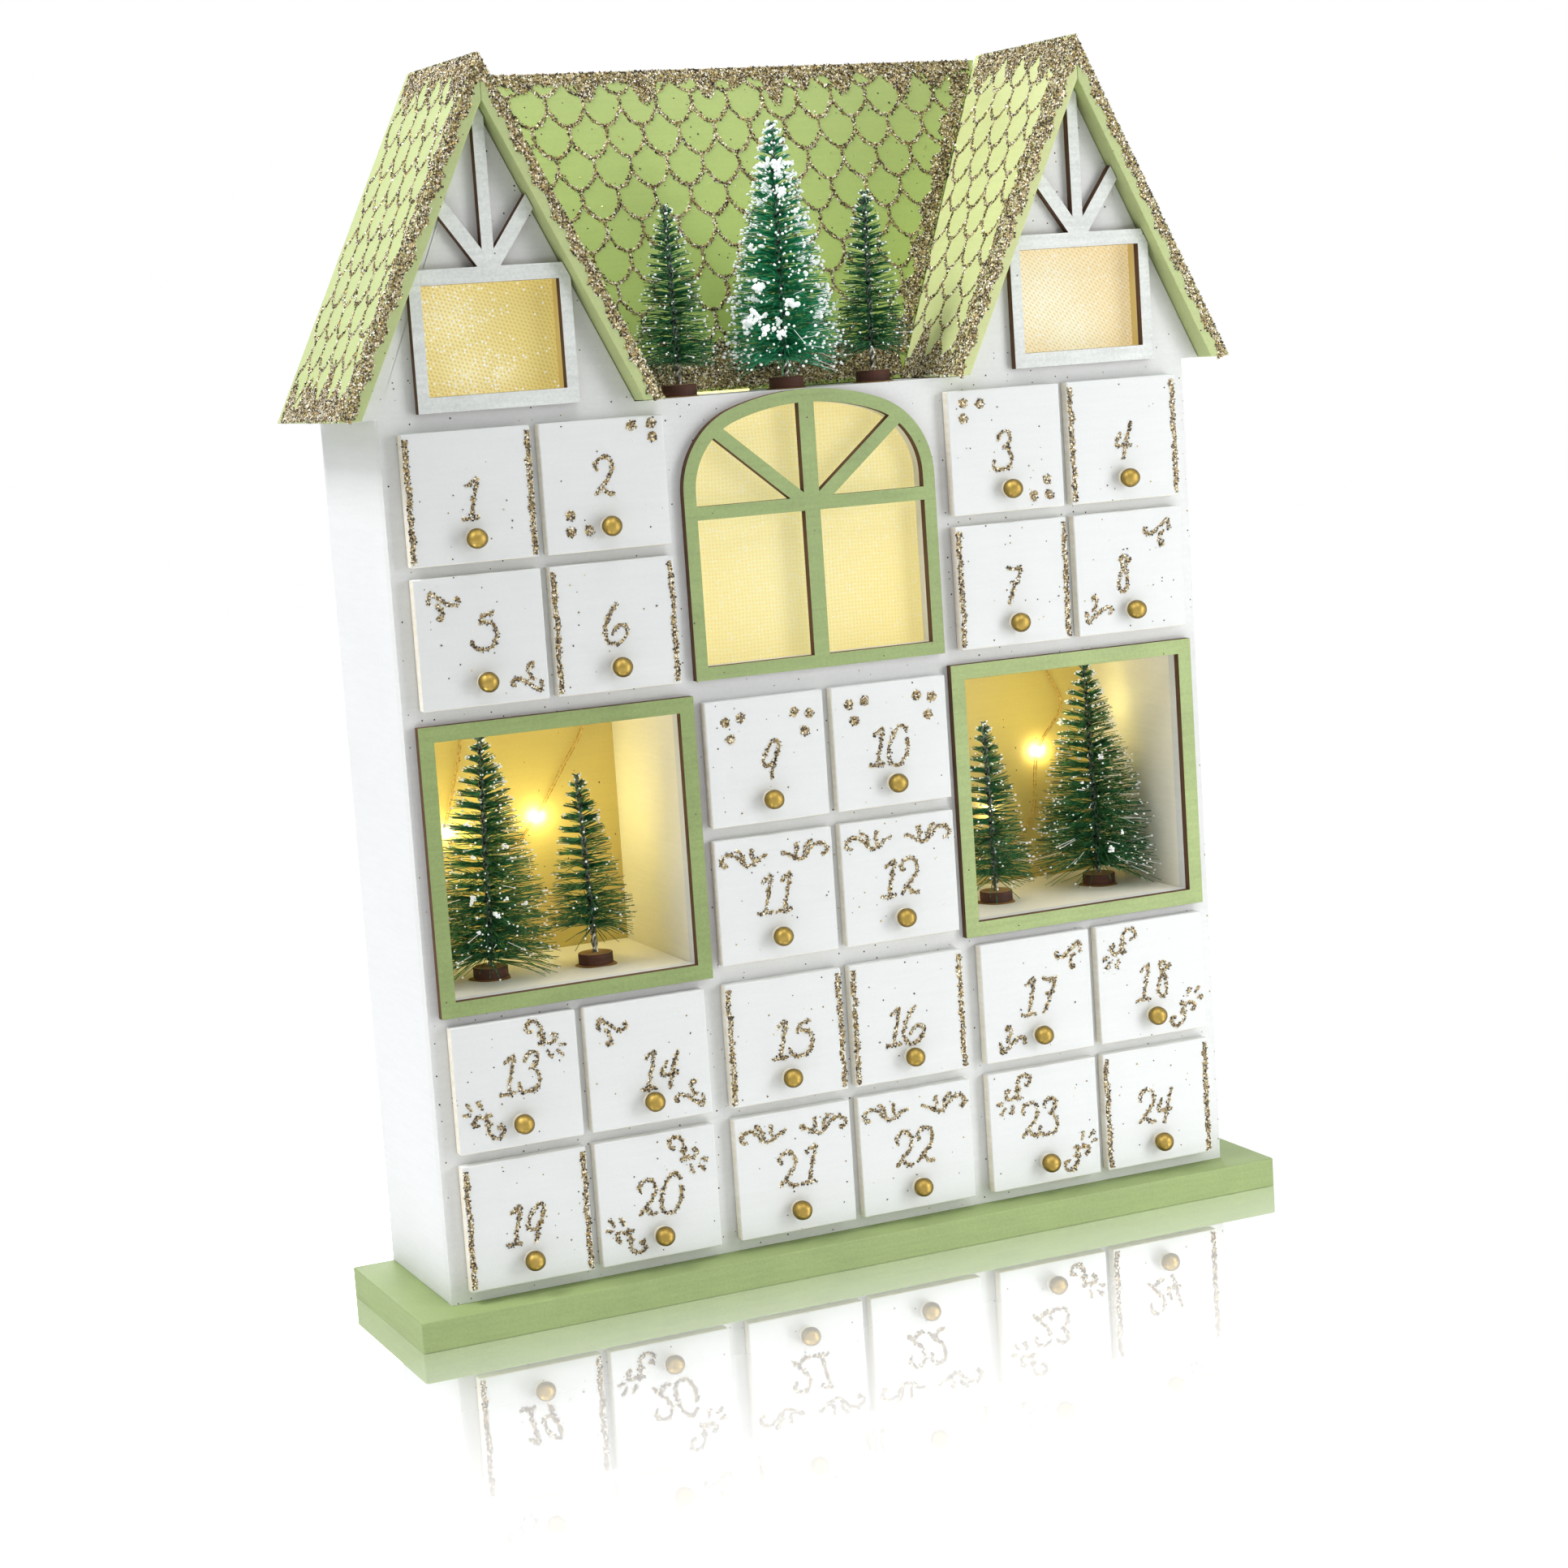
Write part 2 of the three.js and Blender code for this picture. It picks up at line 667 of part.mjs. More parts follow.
// The wire's way from the battery box through the left gable and diorama, the chamber behind the
// arched window and the centre roof, to the right gable and diorama
const wiringY = backInside - wiringGap / 2;
const bulbY = backInside - bulbRadius - clearance;
const wireRoute = [
  [-26, backInside - 8, bayTop + boxWall + 0.5],
  [-27, backInside - 6, bayTop + boxWall + 8],
  [-36, wiringY, 258],
  [-60, wiringY, 270],
  [-88, wiringY, 282],
  [-98, wiringY, 298],
  [-105.5, 48, 318, "bulb"],
  [-114, wiringY - 1, 300],
  [-117, wiringY, 284],
  [-114, wiringY, 240],
  [-108, wiringY, 206],
  [-107.6, wiringY, 186],
  [-112.5, wiringY, 166],
  [-115.3, bulbY, 154.5, "bulb"],
  [-109, wiringY, 143],
  [-98, wiringY, 141],
  [-83.4, bulbY, 156, "bulb"],
  [-72, wiringY, 172],
  [-63.5, wiringY, 186],
  [-61, wiringY, 206],
  [-54, wiringY, 222],
  [-45.4, wiringY, 232],
  [-43.6, backInside - 6, 242],
  [-38, 34, 252],
  [-20, 28, 258, "bulb"],
  [0, 32, 266],
  [20, 28, 258, "bulb"],
  [36, 40, 266],
  [38, wiringY - 1, 284],
  [30, wiringY - 1, 300],
  [8, 50, 302],
  [-14, 43, 301, "bulb"],
  [-22, 43, 307],
  [-10, 47, 315],
  [28, wiringY - 2, 313],
  [44, wiringY, 298],
  [50, wiringY, 284],
  [66, wiringY, 272],
  [90, wiringY, 280],
  [98, wiringY, 298],
  [105.5, 48, 318, "bulb"],
  [114, wiringY - 1, 300],
  [120, wiringY, 284],
  [119, wiringY, 240],
  [117, wiringY, 206],
  [117.5, wiringY, 186],
  [122.5, wiringY, 172],
  [111.5, bulbY, 156, "bulb"],
  [108.4, wiringY, 134],
  [98, wiringY, 124],
  [86, bulbY, 136, "bulb"],
];

function lightString() {
  const points = wireRoute.map(([x, y, z]) => new THREE.Vector3(x, y, z));
  const extrudePath = new THREE.CatmullRomCurve3(points, false, "centripetal");
  const section = new THREE.Shape().absarc(0, 0, wireRadius, 0, 2 * Math.PI, false);
  const options = { steps: 130, bevelEnabled: false, extrudePath, curveSegments: 3 };
  const wire = toSolid(new THREE.ExtrudeGeometry(section, options));
  const bulbs = wireRoute.filter(([, , , kind]) => kind === "bulb");
  const beads = bulbs.map(([x, y, z]) => {
    const bead = new THREE.SphereGeometry(bulbRadius, 7, 5);
    bead.translate(x, y, z);
    return toSolid(bead);
  });
  return join([wire, ...beads]);
}

const calendar = new THREE.Group();
const house = new THREE.Group();
house.position.y = frontY;
calendar.add(house);

function place(name, solid, finish, x = 0, y = 0, z = 0) {
  const mesh = toMesh(name, solid, finish);
  mesh.position.set(x, y, z);
  house.add(mesh);
}

// Box
const plinth = block(around(0, plinthWide / 2), [-plinthStep, houseDeep], [0, plinthThick]);
place("plinth", plinth, colours.sage);
place("facade", facadeSolid(), colours.white);
place("back_panel", backSolid(), colours.white);
const wallReach = ridgeX + underGable().half - houseWide / 2;
const wallTall = [plinthThick, eaveZ + wallReach * slope];
for (const [label, side] of [["left", -1], ["right", 1]]) {
  const wall = block(around(0, wallThick / 2), [wallThick, backInside], wallTall);
  const partition = block(around(0, boardThick / 2), [wallThick, rackEnd], [plinthThick, ledgeFoot]);
  place(`side_panel_${label}`, wall, colours.white, side * (houseWide - wallThick) / 2);
  place(`partition_${label}`, partition, colours.plywood, side * partitionX);
  place(`upper_rack_${label}`, upperRack(side), colours.plywood);
  place(`lower_rack_${label}`, lowerRack(side), colours.plywood);
}
place("centre_rack", centreRack(), colours.plywood);

// Drawers, numbered row by row from the upper left
const drawer = drawerSolid();
drawerPlaces.forEach(({ x, z }, index) => {
  const number = String(index + 1).padStart(2, "0");
  place(`drawer_${number}`, drawer, colours.white, x, 0, z);
});

// Windows
place("arch_frame", archFrame(), colours.sage);
const archPane = [archFoot + archBorder, ledgeFoot - 2 * screenLap];
place("arch_screen", screen(archHalf - archBorder, archPane), colours.fabric);
for (const [label, side] of [["left", -1], ["right", 1]]) {
  const paneScreen = screen(paneHalf, [paneFoot, paneFoot + paneTall]);
  place(`diorama_frame_${label}`, dioramaFrame(), colours.sage, side * windowCentre);
  place(`diorama_sleeve_${label}`, dioramaSleeve(side, notches[label]), colours.white);
  place(`gable_trim_${label}`, gableTrim(), colours.white, side * ridgeX);
  place(`gable_screen_${label}`, paneScreen, colours.fabric, side * ridgeX);
  place(`${label}_diorama_trees`, dioramaTreesSolid(side, dioramaTrees[label]), colours.bristle);
}

// Roof
for (const [label, side] of [["left", -1], ["right", 1]]) {
  place(`roof_board_${label}_outer`, roofBoard(side * ridgeX, side), colours.glitter);
  place(`roof_board_${label}_inner`, roofBoard(side * ridgeX, -side), colours.glitter);
}
place("centre_roof", centreRoofSolid(), colours.glitter);
place("roof_trees", ledgeSolid(), colours.bristle);

// Lighting
place("battery_box", batteryBox(), colours.plastic);
place("battery_door", batteryDoor(), colours.plastic);
const cellY = backInside - bayDeep / 2;
const lowerCell = bayFoot + clearance + cellRadius;
place("cell_lower", cellSolid(1), colours.cell, bayCentre, cellY, lowerCell);
place("cell_upper", cellSolid(-1), colours.cell, bayCentre, cellY, lowerCell + cellPitch);
place("switch_slider", switchSlider(), colours.plastic, switchX - switchTravel / 2, 0, switchZ);
place("light_string", lightString(), colours.wire);

export default calendar;
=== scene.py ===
# Light-up advent calendar: the looks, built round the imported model.
# Lengths in this file are millimetres, measured as on the part: Y is 0 at the facade's front face.

import math
import random

import bmesh
import bpy
import numpy as np
from mathutils import Matrix, Vector, noise


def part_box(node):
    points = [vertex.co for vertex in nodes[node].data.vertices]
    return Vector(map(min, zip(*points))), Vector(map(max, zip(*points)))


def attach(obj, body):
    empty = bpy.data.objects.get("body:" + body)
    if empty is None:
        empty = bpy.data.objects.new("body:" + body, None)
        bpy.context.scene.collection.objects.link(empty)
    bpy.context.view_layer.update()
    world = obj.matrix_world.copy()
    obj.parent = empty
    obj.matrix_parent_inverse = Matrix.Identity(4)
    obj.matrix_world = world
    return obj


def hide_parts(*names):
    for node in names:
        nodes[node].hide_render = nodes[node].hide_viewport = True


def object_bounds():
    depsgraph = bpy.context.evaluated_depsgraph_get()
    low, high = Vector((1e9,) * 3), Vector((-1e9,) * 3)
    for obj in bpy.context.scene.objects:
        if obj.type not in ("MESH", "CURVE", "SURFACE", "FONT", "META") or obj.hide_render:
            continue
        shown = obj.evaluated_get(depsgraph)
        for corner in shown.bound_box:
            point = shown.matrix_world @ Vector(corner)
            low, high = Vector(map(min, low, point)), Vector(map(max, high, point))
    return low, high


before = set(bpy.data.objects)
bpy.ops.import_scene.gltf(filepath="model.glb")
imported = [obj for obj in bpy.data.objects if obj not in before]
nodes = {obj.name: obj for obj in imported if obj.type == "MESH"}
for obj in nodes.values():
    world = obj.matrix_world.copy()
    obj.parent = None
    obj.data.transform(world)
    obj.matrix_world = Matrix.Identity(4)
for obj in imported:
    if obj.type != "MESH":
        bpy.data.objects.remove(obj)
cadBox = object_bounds()
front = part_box("facade")[0].y * 1000  # where the facade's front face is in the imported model
print("frame loaded:", len(nodes), "nodes")


# Placing and meshes


def at(x, y, z):
    return Vector((x, y + front, z)) * 0.001


def boxOf(node):
    low, high = (corner * 1000 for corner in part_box(node))
    return Vector((low.x, low.y - front, low.z)), Vector((high.x, high.y - front, high.z))


def intoScene(name, data):
    item = bpy.data.objects.new(name, data)
    bpy.context.scene.collection.objects.link(item)
    return item


def turnOutwards(piece):
    shape = bmesh.new()
    shape.from_mesh(piece.data)
    bmesh.ops.recalc_face_normals(shape, faces=shape.faces)
    shape.to_mesh(piece.data)
    shape.free()


def roundEdges(piece, width, segments=2):
    weld = piece.modifiers.new("weld", "WELD")
    weld.merge_threshold = 0.00002
    bevel = piece.modifiers.new("rounded edges", "BEVEL")
    bevel.width = width * 0.001
    bevel.segments = segments
    bevel.limit_method = "ANGLE"
    bevel.angle_limit = math.radians(35)
    bevel.harden_normals = True


class Shape:
    def __init__(self):  # gathers the bodies of one piece before it is made
        self.verts, self.faces, self.kinds = [], [], []

    def add(self, verts, faces, kind=0):  # kind is the number of its material
        start = len(self.verts)
        self.verts.extend(tuple(v) for v in verts)
        self.faces.extend(tuple(start + i for i in face) for face in faces)
        self.kinds.extend([kind] * len(faces))

    def block(self, low, high):
        (x0, y0, z0), (x1, y1, z1) = low, high
        corners = [(x, y, z) for z in (z0, z1) for y in (y0, y1) for x in (x0, x1)]
        sides = [(0, 2, 3, 1), (4, 5, 7, 6), (0, 1, 5, 4), (2, 6, 7, 3), (0, 4, 6, 2), (1, 3, 7, 5)]
        self.add(corners, sides)

    def rings(self, loops, kind=0):  # a skin over loops of equal count, closed at both ends
        count = len(loops[0])
        last = (len(loops) - 1) * count
        sides = []
        for start in range(0, last, count):
            for i in range(count):
                after = (i + 1) % count
                sides.append((start + i, start + after, start + count + after, start + count + i))
        sides.append(tuple(reversed(range(count))))
        sides.append(tuple(last + i for i in range(count)))
        self.add([v for loop in loops for v in loop], sides, kind)

    def make(self, name, materials, body, slotName, smooth=False):
        points = (np.asarray(self.verts, float) + (0, front, 0)) * 0.001
        mesh = bpy.data.meshes.new(name)
        mesh.from_pydata(points.tolist(), [], self.faces)
        for material in materials:
            mesh.materials.append(material)
        mesh.polygons.foreach_set("material_index", np.asarray(self.kinds, np.int32))
        if smooth:
            mesh.polygons.foreach_set("use_smooth", np.ones(len(mesh.polygons), bool))
        mesh.update()
        piece = intoScene(name, mesh)
        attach(piece, body)
        turnOutwards(piece)
        return piece


def throughPoints(points, step=0.5):  # a smooth line through points, in even steps
    given = [Vector(p) for p in points]
    ends = [given[0] * 2 - given[1], *given, given[-1] * 2 - given[-2]]
    line = []
    for a, b, c, d in zip(ends, ends[1:], ends[2:], ends[3:]):
        count = max(1, round((c - b).length / step))
        for k in range(count):
            t = k / count
            point = 2 * b + (c - a) * t + (2 * a - 5 * b + 4 * c - d) * t**2
            line.append(0.5 * (point + (3 * b - a - 3 * c + d) * t**3))
    return [*line, given[-1]]


def headingAt(line, k):
    return (line[min(k + 1, len(line) - 1)] - line[max(k - 1, 0)]).normalized()


def around(first, second, angles):  # directions round a circle that two crossed directions span
    return [first * math.cos(a) + second * math.sin(a) for a in angles]


def evenTurns(count):
    return np.linspace(0, math.tau, count, False)


def tubeLoops(line, radius, sides=6):
    loops = []
    side = headingAt(line, 0).orthogonal().normalized()
    for k, point in enumerate(line):
        ahead = headingAt(line, k)
        side = (side - ahead * side.dot(ahead)).normalized()
        up = ahead.cross(side)
        size = radius(k / (len(line) - 1)) if callable(radius) else radius
        loops.append([point + way * size for way in around(side, up, evenTurns(sides))])
    return loops


def uprightRing(x, y, z, radius, count):  # a circle that faces the front
    return [(x + radius * math.cos(a), y, z + radius * math.sin(a)) for a in evenTurns(count)]


# Shader helpers


def rgb(red, green, blue):
    values = [v / 255 for v in (red, green, blue)]
    return (*[v / 12.92 if v <= 0.04045 else ((v + 0.055) / 1.055) ** 2.4 for v in values], 1)


def plug(tree, socket, value):
    if isinstance(value, bpy.types.NodeSocket):
        tree.links.new(value, socket)
    else:
        socket.default_value = value


def addNode(tree, kind, inputs=None, **settings):
    node = tree.nodes.new(kind)
    for key, value in settings.items():
        setattr(node, key, value)
    for key, value in (inputs or {}).items():
        plug(tree, node.inputs[key], value)
    return node


def calc(tree, operation, *values):
    return addNode(tree, "ShaderNodeMath", dict(enumerate(values)), operation=operation).outputs[0]


def mixColours(tree, share, first, second, blend="MIX"):
    node = addNode(tree, "ShaderNodeMix", {0: share, 6: first, 7: second}, data_type="RGBA", blend_type=blend)
    return node.outputs[2]


def between(tree, value, low, high, start=0.0, end=1.0):
    inputs = {"Value": value, "From Min": low, "From Max": high, "To Min": start, "To Max": end}
    return addNode(tree, "ShaderNodeMapRange", inputs).outputs[0]


def ramp(tree, value, stops, smooth=True):
    node = addNode(tree, "ShaderNodeValToRGB", {0: value})
    node.color_ramp.interpolation = "LINEAR" if smooth else "CONSTANT"
    for k, (place, colour) in enumerate(stops):
        stop = node.color_ramp.elements[k] if k < 2 else node.color_ramp.elements.new(place)
        stop.position = place
        stop.color = colour
    return node.outputs[0]


def millimetres(tree, stretch=(1, 1, 1)):  # object coordinates, with 1 for each millimetre
    where = addNode(tree, "ShaderNodeTexCoord").outputs["Object"]
    scale = tuple(1000 * s for s in stretch)
    return addNode(tree, "ShaderNodeMapping", {"Vector": where, "Scale": scale}).outputs[0]


def placeOf(tree):  # X, Y and Z in millimetres
    return addNode(tree, "ShaderNodeSeparateXYZ", {0: millimetres(tree)}).outputs


def facing(tree):  # how far a face looks to the back: 1, and -1 for the front
    normal = addNode(tree, "ShaderNodeTexCoord").outputs["Normal"]
    return addNode(tree, "ShaderNodeSeparateXYZ", {0: normal}).outputs[1]


def noiseAt(tree, size, detail=3.0, roughness=0.5, stretch=(1, 1, 1)):
    where = millimetres(tree, stretch)
    inputs = {"Vector": where, "Scale": 1 / size, "Detail": detail, "Roughness": roughness}
    return addNode(tree, "ShaderNodeTexNoise", inputs).outputs[0]


def cellsAt(tree, where, size, dimensions="3D"):  # the way to a cell's middle, and its three random numbers
    inputs = {"Vector": where, "Scale": 1 / size}
    cells = addNode(tree, "ShaderNodeTexVoronoi", inputs, feature="F1", voronoi_dimensions=dimensions).outputs
    return cells["Distance"], addNode(tree, "ShaderNodeSeparateColor", {0: cells["Color"]}).outputs


def newGroup(name, inputs, outputs):  # values tell the inputs' kinds, and only the output Colour is a colour
    group = bpy.data.node_groups.new(name, "ShaderNodeTree")
    kinds = {3: "NodeSocketVector", 4: "NodeSocketColor"}
    for label, value in inputs.items():
        kind = kinds[len(value)] if isinstance(value, tuple) else "NodeSocketFloat"
        group.interface.new_socket(label, in_out="INPUT", socket_type=kind).default_value = value
    for label in outputs:
        kind = "NodeSocketColor" if label == "Colour" else "NodeSocketFloat"
        group.interface.new_socket(label, in_out="OUTPUT", socket_type=kind)
    return group, addNode(group, "NodeGroupInput").outputs, addNode(group, "NodeGroupOutput").inputs


def useGroup(tree, group, **values):
    return addNode(tree, "ShaderNodeGroup", values, node_tree=group).outputs


def newMaterial(name, **shine):
    material = bpy.data.materials.new(name)
    material.use_nodes = True
    for key, value in shine.items():
        material.node_tree.nodes["Principled BSDF"].inputs[key.replace("_", " ")].default_value = value
    return material, material.node_tree


def dress(material, colour, height=None, bump=0.0, **more):  # plugs maps into a material's shader
    tree = material.node_tree
    sockets = tree.nodes["Principled BSDF"].inputs
    plug(tree, sockets["Base Color"], colour)
    for key, value in more.items():
        plug(tree, sockets[key.replace("_", " ")], value)
    if height is not None:
        inputs = {"Height": height, "Distance": bump * 0.001, "Strength": 1.0}
        plug(tree, sockets["Normal"], addNode(tree, "ShaderNodeBump", inputs).outputs[0])
    return material


# Effects that several finishes share

coat = {"streak": 1.4, "cloud": 26, "pore": 0.9, "speckCell": 4.5, "smallSpeck": 0.03, "largeSpeck": 0.072}


def makePaintedGroup():  # brushed paint over wood: long faint streaks, an eggshell surface and stray glitter
    inputs = {"Colour": (1, 1, 1, 1), "Streaks": 0.05, "Specks": 0.0}
    group, given, result = newGroup("brushed paint", inputs, ["Colour", "Height", "Roughness"])
    streak = noiseAt(group, coat["streak"], 4, stretch=(0.08, 0.08, 1))
    cloud = noiseAt(group, coat["cloud"], 2)
    pores = noiseAt(group, coat["pore"], 2)
    shade = calc(group, "ADD", calc(group, "ADD", streak, cloud), pores)
    shade = calc(group, "MULTIPLY_ADD", calc(group, "SUBTRACT", shade, 1.5), given["Streaks"], 1.0)
    grey = addNode(group, "ShaderNodeCombineColor", {0: shade, 1: shade, 2: shade}).outputs[0]
    plain = mixColours(group, 1.0, given["Colour"], grey, "MULTIPLY")
    spot = placeOf(group)
    flat = addNode(group, "ShaderNodeCombineXYZ", {0: spot[0], 1: spot[2]}).outputs[0]
    away, pick = cellsAt(group, flat, coat["speckCell"], "2D")
    size = between(group, pick[2], 0, 1, coat["smallSpeck"], coat["largeSpeck"])
    forward = calc(group, "LESS_THAN", facing(group), -0.7)
    chosen = calc(group, "MULTIPLY", forward, calc(group, "LESS_THAN", pick[0], given["Specks"]))
    speck = calc(group, "MULTIPLY", calc(group, "LESS_THAN", away, size), chosen)
    dust = ramp(group, pick[1], [(0, rgb(46, 38, 30)), (0.7, rgb(84, 70, 50)), (1, rgb(176, 152, 100))])
    plug(group, result["Colour"], mixColours(group, speck, plain, dust))
    relief = calc(group, "ADD", calc(group, "MULTIPLY", streak, 0.6), calc(group, "MULTIPLY", pores, 0.5))
    plug(group, result["Height"], relief)
    plug(group, result["Roughness"], between(group, cloud, 0.3, 0.7, 0.5, 0.62))
    return group


def makeBurntGroup():  # laser-cut wood: painted faces, scorched brown walls, and a thin scorched rim
    inputs = {"Face": (1, 1, 1, 1), "Scorch": rgb(66, 42, 28), "Reach": 0.6}
    group, given, result = newGroup("scorched edge", inputs, ["Colour", "Mask"])
    soot = calc(group, "SUBTRACT", noiseAt(group, 2.2, 3), 0.5)
    edge = calc(group, "MULTIPLY_ADD", soot, 0.3, given["Reach"])
    mask = calc(group, "LESS_THAN", calc(group, "ABSOLUTE", facing(group)), edge)
    layers = noiseAt(group, 0.5, 2, stretch=(0.05, 1, 0.05))
    tone = mixColours(group, layers, given["Scorch"], rgb(104, 70, 44))
    plug(group, result["Colour"], mixColours(group, mask, given["Face"], tone))
    plug(group, result["Mask"], mask)
    return group


def makeGlitterGroup():  # packed flakes in glue: every grain has its own colour and tilt
    inputs = {"Grain": 0.5, "Glue": rgb(150, 132, 92)}
    group, given, result = newGroup("glitter grains", inputs, ["Colour", "Metal", "Roughness", "Height"])
    scale = calc(group, "DIVIDE", 1.0, given["Grain"])
    spread = {0: millimetres(group), 3: scale}
    where = addNode(group, "ShaderNodeVectorMath", spread, operation="SCALE").outputs[0]
    away, pick = cellsAt(group, where, 1.0)
    stops = [
        (0, rgb(54, 38, 24)),
        (0.26, rgb(98, 78, 46)),
        (0.44, rgb(164, 138, 88)),
        (0.64, rgb(214, 196, 148)),
        (0.84, rgb(252, 246, 226)),
    ]
    gap = between(group, away, 0.42, 0.6)
    whole = calc(group, "SUBTRACT", 1.0, gap)
    grain = ramp(group, pick[0], stops, smooth=False)
    plug(group, result["Colour"], mixColours(group, gap, grain, given["Glue"]))
    plug(group, result["Metal"], calc(group, "MULTIPLY", whole, 0.35))
    plug(group, result["Roughness"], between(group, pick[1], 0, 1, 0.28, 0.6))
    plug(group, result["Height"], calc(group, "MULTIPLY", pick[2], whole))
    return group


def makeWeaveGroup():  # crossed threads, with open gaps between them
    inputs = {"Thread": 0.8, "Slant": 0.0}
    group, given, result = newGroup("weave", inputs, ["Height", "Gap", "Sparkle"])
    spot = placeOf(group)
    wobble = calc(group, "MULTIPLY", noiseAt(group, 22, 1), 5.0)
    turns = calc(group, "DIVIDE", math.pi, given["Thread"])
    threads = []
    for along, across in ((spot[0], spot[2]), (spot[2], spot[0])):
        leaning = calc(group, "MULTIPLY_ADD", across, given["Slant"], along)
        wave = calc(group, "SINE", calc(group, "MULTIPLY_ADD", leaning, turns, wobble))
        threads.append(calc(group, "ABSOLUTE", wave))
    over = calc(group, "MAXIMUM", *threads)
    plug(group, result["Height"], over)
    plug(group, result["Gap"], calc(group, "LESS_THAN", over, 0.7))
    # Sparkle: random spots where the fabric gets painted glints
    away, pick = cellsAt(group, millimetres(group), 1.0)
    plug(group, result["Sparkle"], calc(group, "MULTIPLY", calc(group, "LESS_THAN", away, 0.36), pick[0]))
    return group


def makeGlowGroup():  # how much of a lamp's light reaches a place, from 1 at the lamp down to 0
    group, given, result = newGroup("lamp glow", {"Lamp": (0, 0, 0), "Reach": 20.0}, ["Glow"])
    ends = {0: millimetres(group), 1: given["Lamp"]}
    away = addNode(group, "ShaderNodeVectorMath", ends, operation="DISTANCE").outputs["Value"]
    share = calc(group, "DIVIDE", away, given["Reach"])
    plug(group, result["Glow"], calc(group, "DIVIDE", 1.0, calc(group, "MULTIPLY_ADD", share, share, 1.0)))
    return group


def makeWoodGroup():  # bare wood: long grain along X and Y, darker pores
    inputs = {"Light": rgb(222, 194, 150), "Dark": rgb(178, 140, 96)}
    group, given, result = newGroup("bare wood", inputs, ["Colour", "Height"])
    grain = noiseAt(group, 1.6, 5, 0.6, (0.12, 0.12, 1))
    patches = calc(group, "MULTIPLY", noiseAt(group, 18, 2), 0.4)
    share = between(group, calc(group, "MULTIPLY_ADD", grain, 0.8, patches), 0.4, 0.8)
    plug(group, result["Colour"], mixColours(group, share, given["Light"], given["Dark"]))
    plug(group, result["Height"], grain)
    return group


painted = makePaintedGroup()
scorched = makeBurntGroup()
grains = makeGlitterGroup()
weave = makeWeaveGroup()
lampGlow = makeGlowGroup()
bareWood = makeWoodGroup()

# Finishes

paint = {
    "white": rgb(229, 231, 232),
    "facade": rgb(226, 228, 227),
    "trim": rgb(222, 226, 223),
    "plate": rgb(228, 231, 230),
    "inside": rgb(248, 245, 232),
    "cream": rgb(215, 197, 122),
    # painted light and painted shade: paler and darker copies of the sage paint for the right and left
    # diorama frames
    "sage": rgb(147, 166, 107),
    "sagePaintedLight": rgb(160, 178, 117),
    "sagePaintedShade": rgb(140, 159, 98),
    "roof": rgb(175, 194, 118),
    "roofLow": rgb(166, 192, 92),
    # painted sheen: the boards' copy of the roof paint is paler than the centre roof's
    "boards": rgb(184, 197, 136),
    # painted light: paler roof paint for the right inner board
    "innerBoardPaintedLight": rgb(204, 212, 150),
    "scorch": rgb(62, 40, 26),
    "trimScorch": rgb(54, 34, 22),
    # the reveal: bare wood colour with painted warm light; its glow is painted light
    "reveal": rgb(196, 174, 112),
    "revealPaintedGlow": rgb(240, 216, 132),
}


def paintedMaterial(name, colour, streaks=0.07, specks=0.0, bump=0.05):  # colour may be a function
    material, tree = newMaterial(name)
    colour = colour(tree) if callable(colour) else colour
    look = useGroup(tree, painted, Colour=colour, Streaks=streaks, Specks=specks)
    return dress(material, look["Colour"], look["Height"], bump, Roughness=look["Roughness"])


def facadeMaterial():  # the walls of the two gable windows stay bare, with painted light: a warm tint and a faint glow stand for the light behind the fabric
    material, tree = newMaterial("facade paint", Emission_Color=paint["revealPaintedGlow"])
    look = useGroup(tree, painted, Colour=paint["facade"], Streaks=0.09, Specks=0.34)
    low, high = boxOf("gable_screen_right")
    x, _, z = placeOf(tree)
    away = calc(tree, "ABSOLUTE", calc(tree, "SUBTRACT", calc(tree, "ABSOLUTE", x), (low.x + high.x) / 2))
    wall = calc(tree, "LESS_THAN", calc(tree, "ABSOLUTE", facing(tree)), 0.5)
    limits = (("LESS_THAN", away, (high.x - low.x) / 2), ("GREATER_THAN", z, low.z), ("LESS_THAN", z, high.z))
    for limit in limits:
        wall = calc(tree, "MULTIPLY", wall, calc(tree, *limit))
    # painted light: bare wood colour tinted warm, and a faint painted glow
    colour = mixColours(tree, wall, look["Colour"], paint["reveal"])
    glow = calc(tree, "MULTIPLY", wall, 0.18)
    return dress(material, colour, look["Height"], 0.05, Roughness=look["Roughness"], Emission_Strength=glow)


def cutOutMaterial(name, colour, scorch=paint["scorch"]):  # painted in front, scorched where the laser cut
    material, tree = newMaterial(name)
    look = useGroup(tree, painted, Colour=colour, Streaks=0.34, Specks=0.05)
    burnt = useGroup(tree, scorched, Face=look["Colour"], Scorch=scorch)
    rough = between(tree, burnt["Mask"], 0, 1, 0.55, 0.85)
    return dress(material, burnt["Colour"], look["Height"], 0.06, Roughness=rough)


def backMaterial():  # white outside, warm cream towards the lamps
    material, tree = newMaterial("back panel paint", Roughness=0.6)
    inner = calc(tree, "LESS_THAN", facing(tree), -0.7)
    colour = mixColours(tree, inner, paint["white"], paint["cream"])
    look = useGroup(tree, painted, Colour=colour, Streaks=0.08, Specks=0.12)
    return dress(material, look["Colour"], look["Height"], 0.08)


def centreRoofColour(tree):  # deeper towards the ledge
    return mixColours(tree, between(tree, placeOf(tree)[2], 300, 395), paint["roofLow"], paint["roof"])


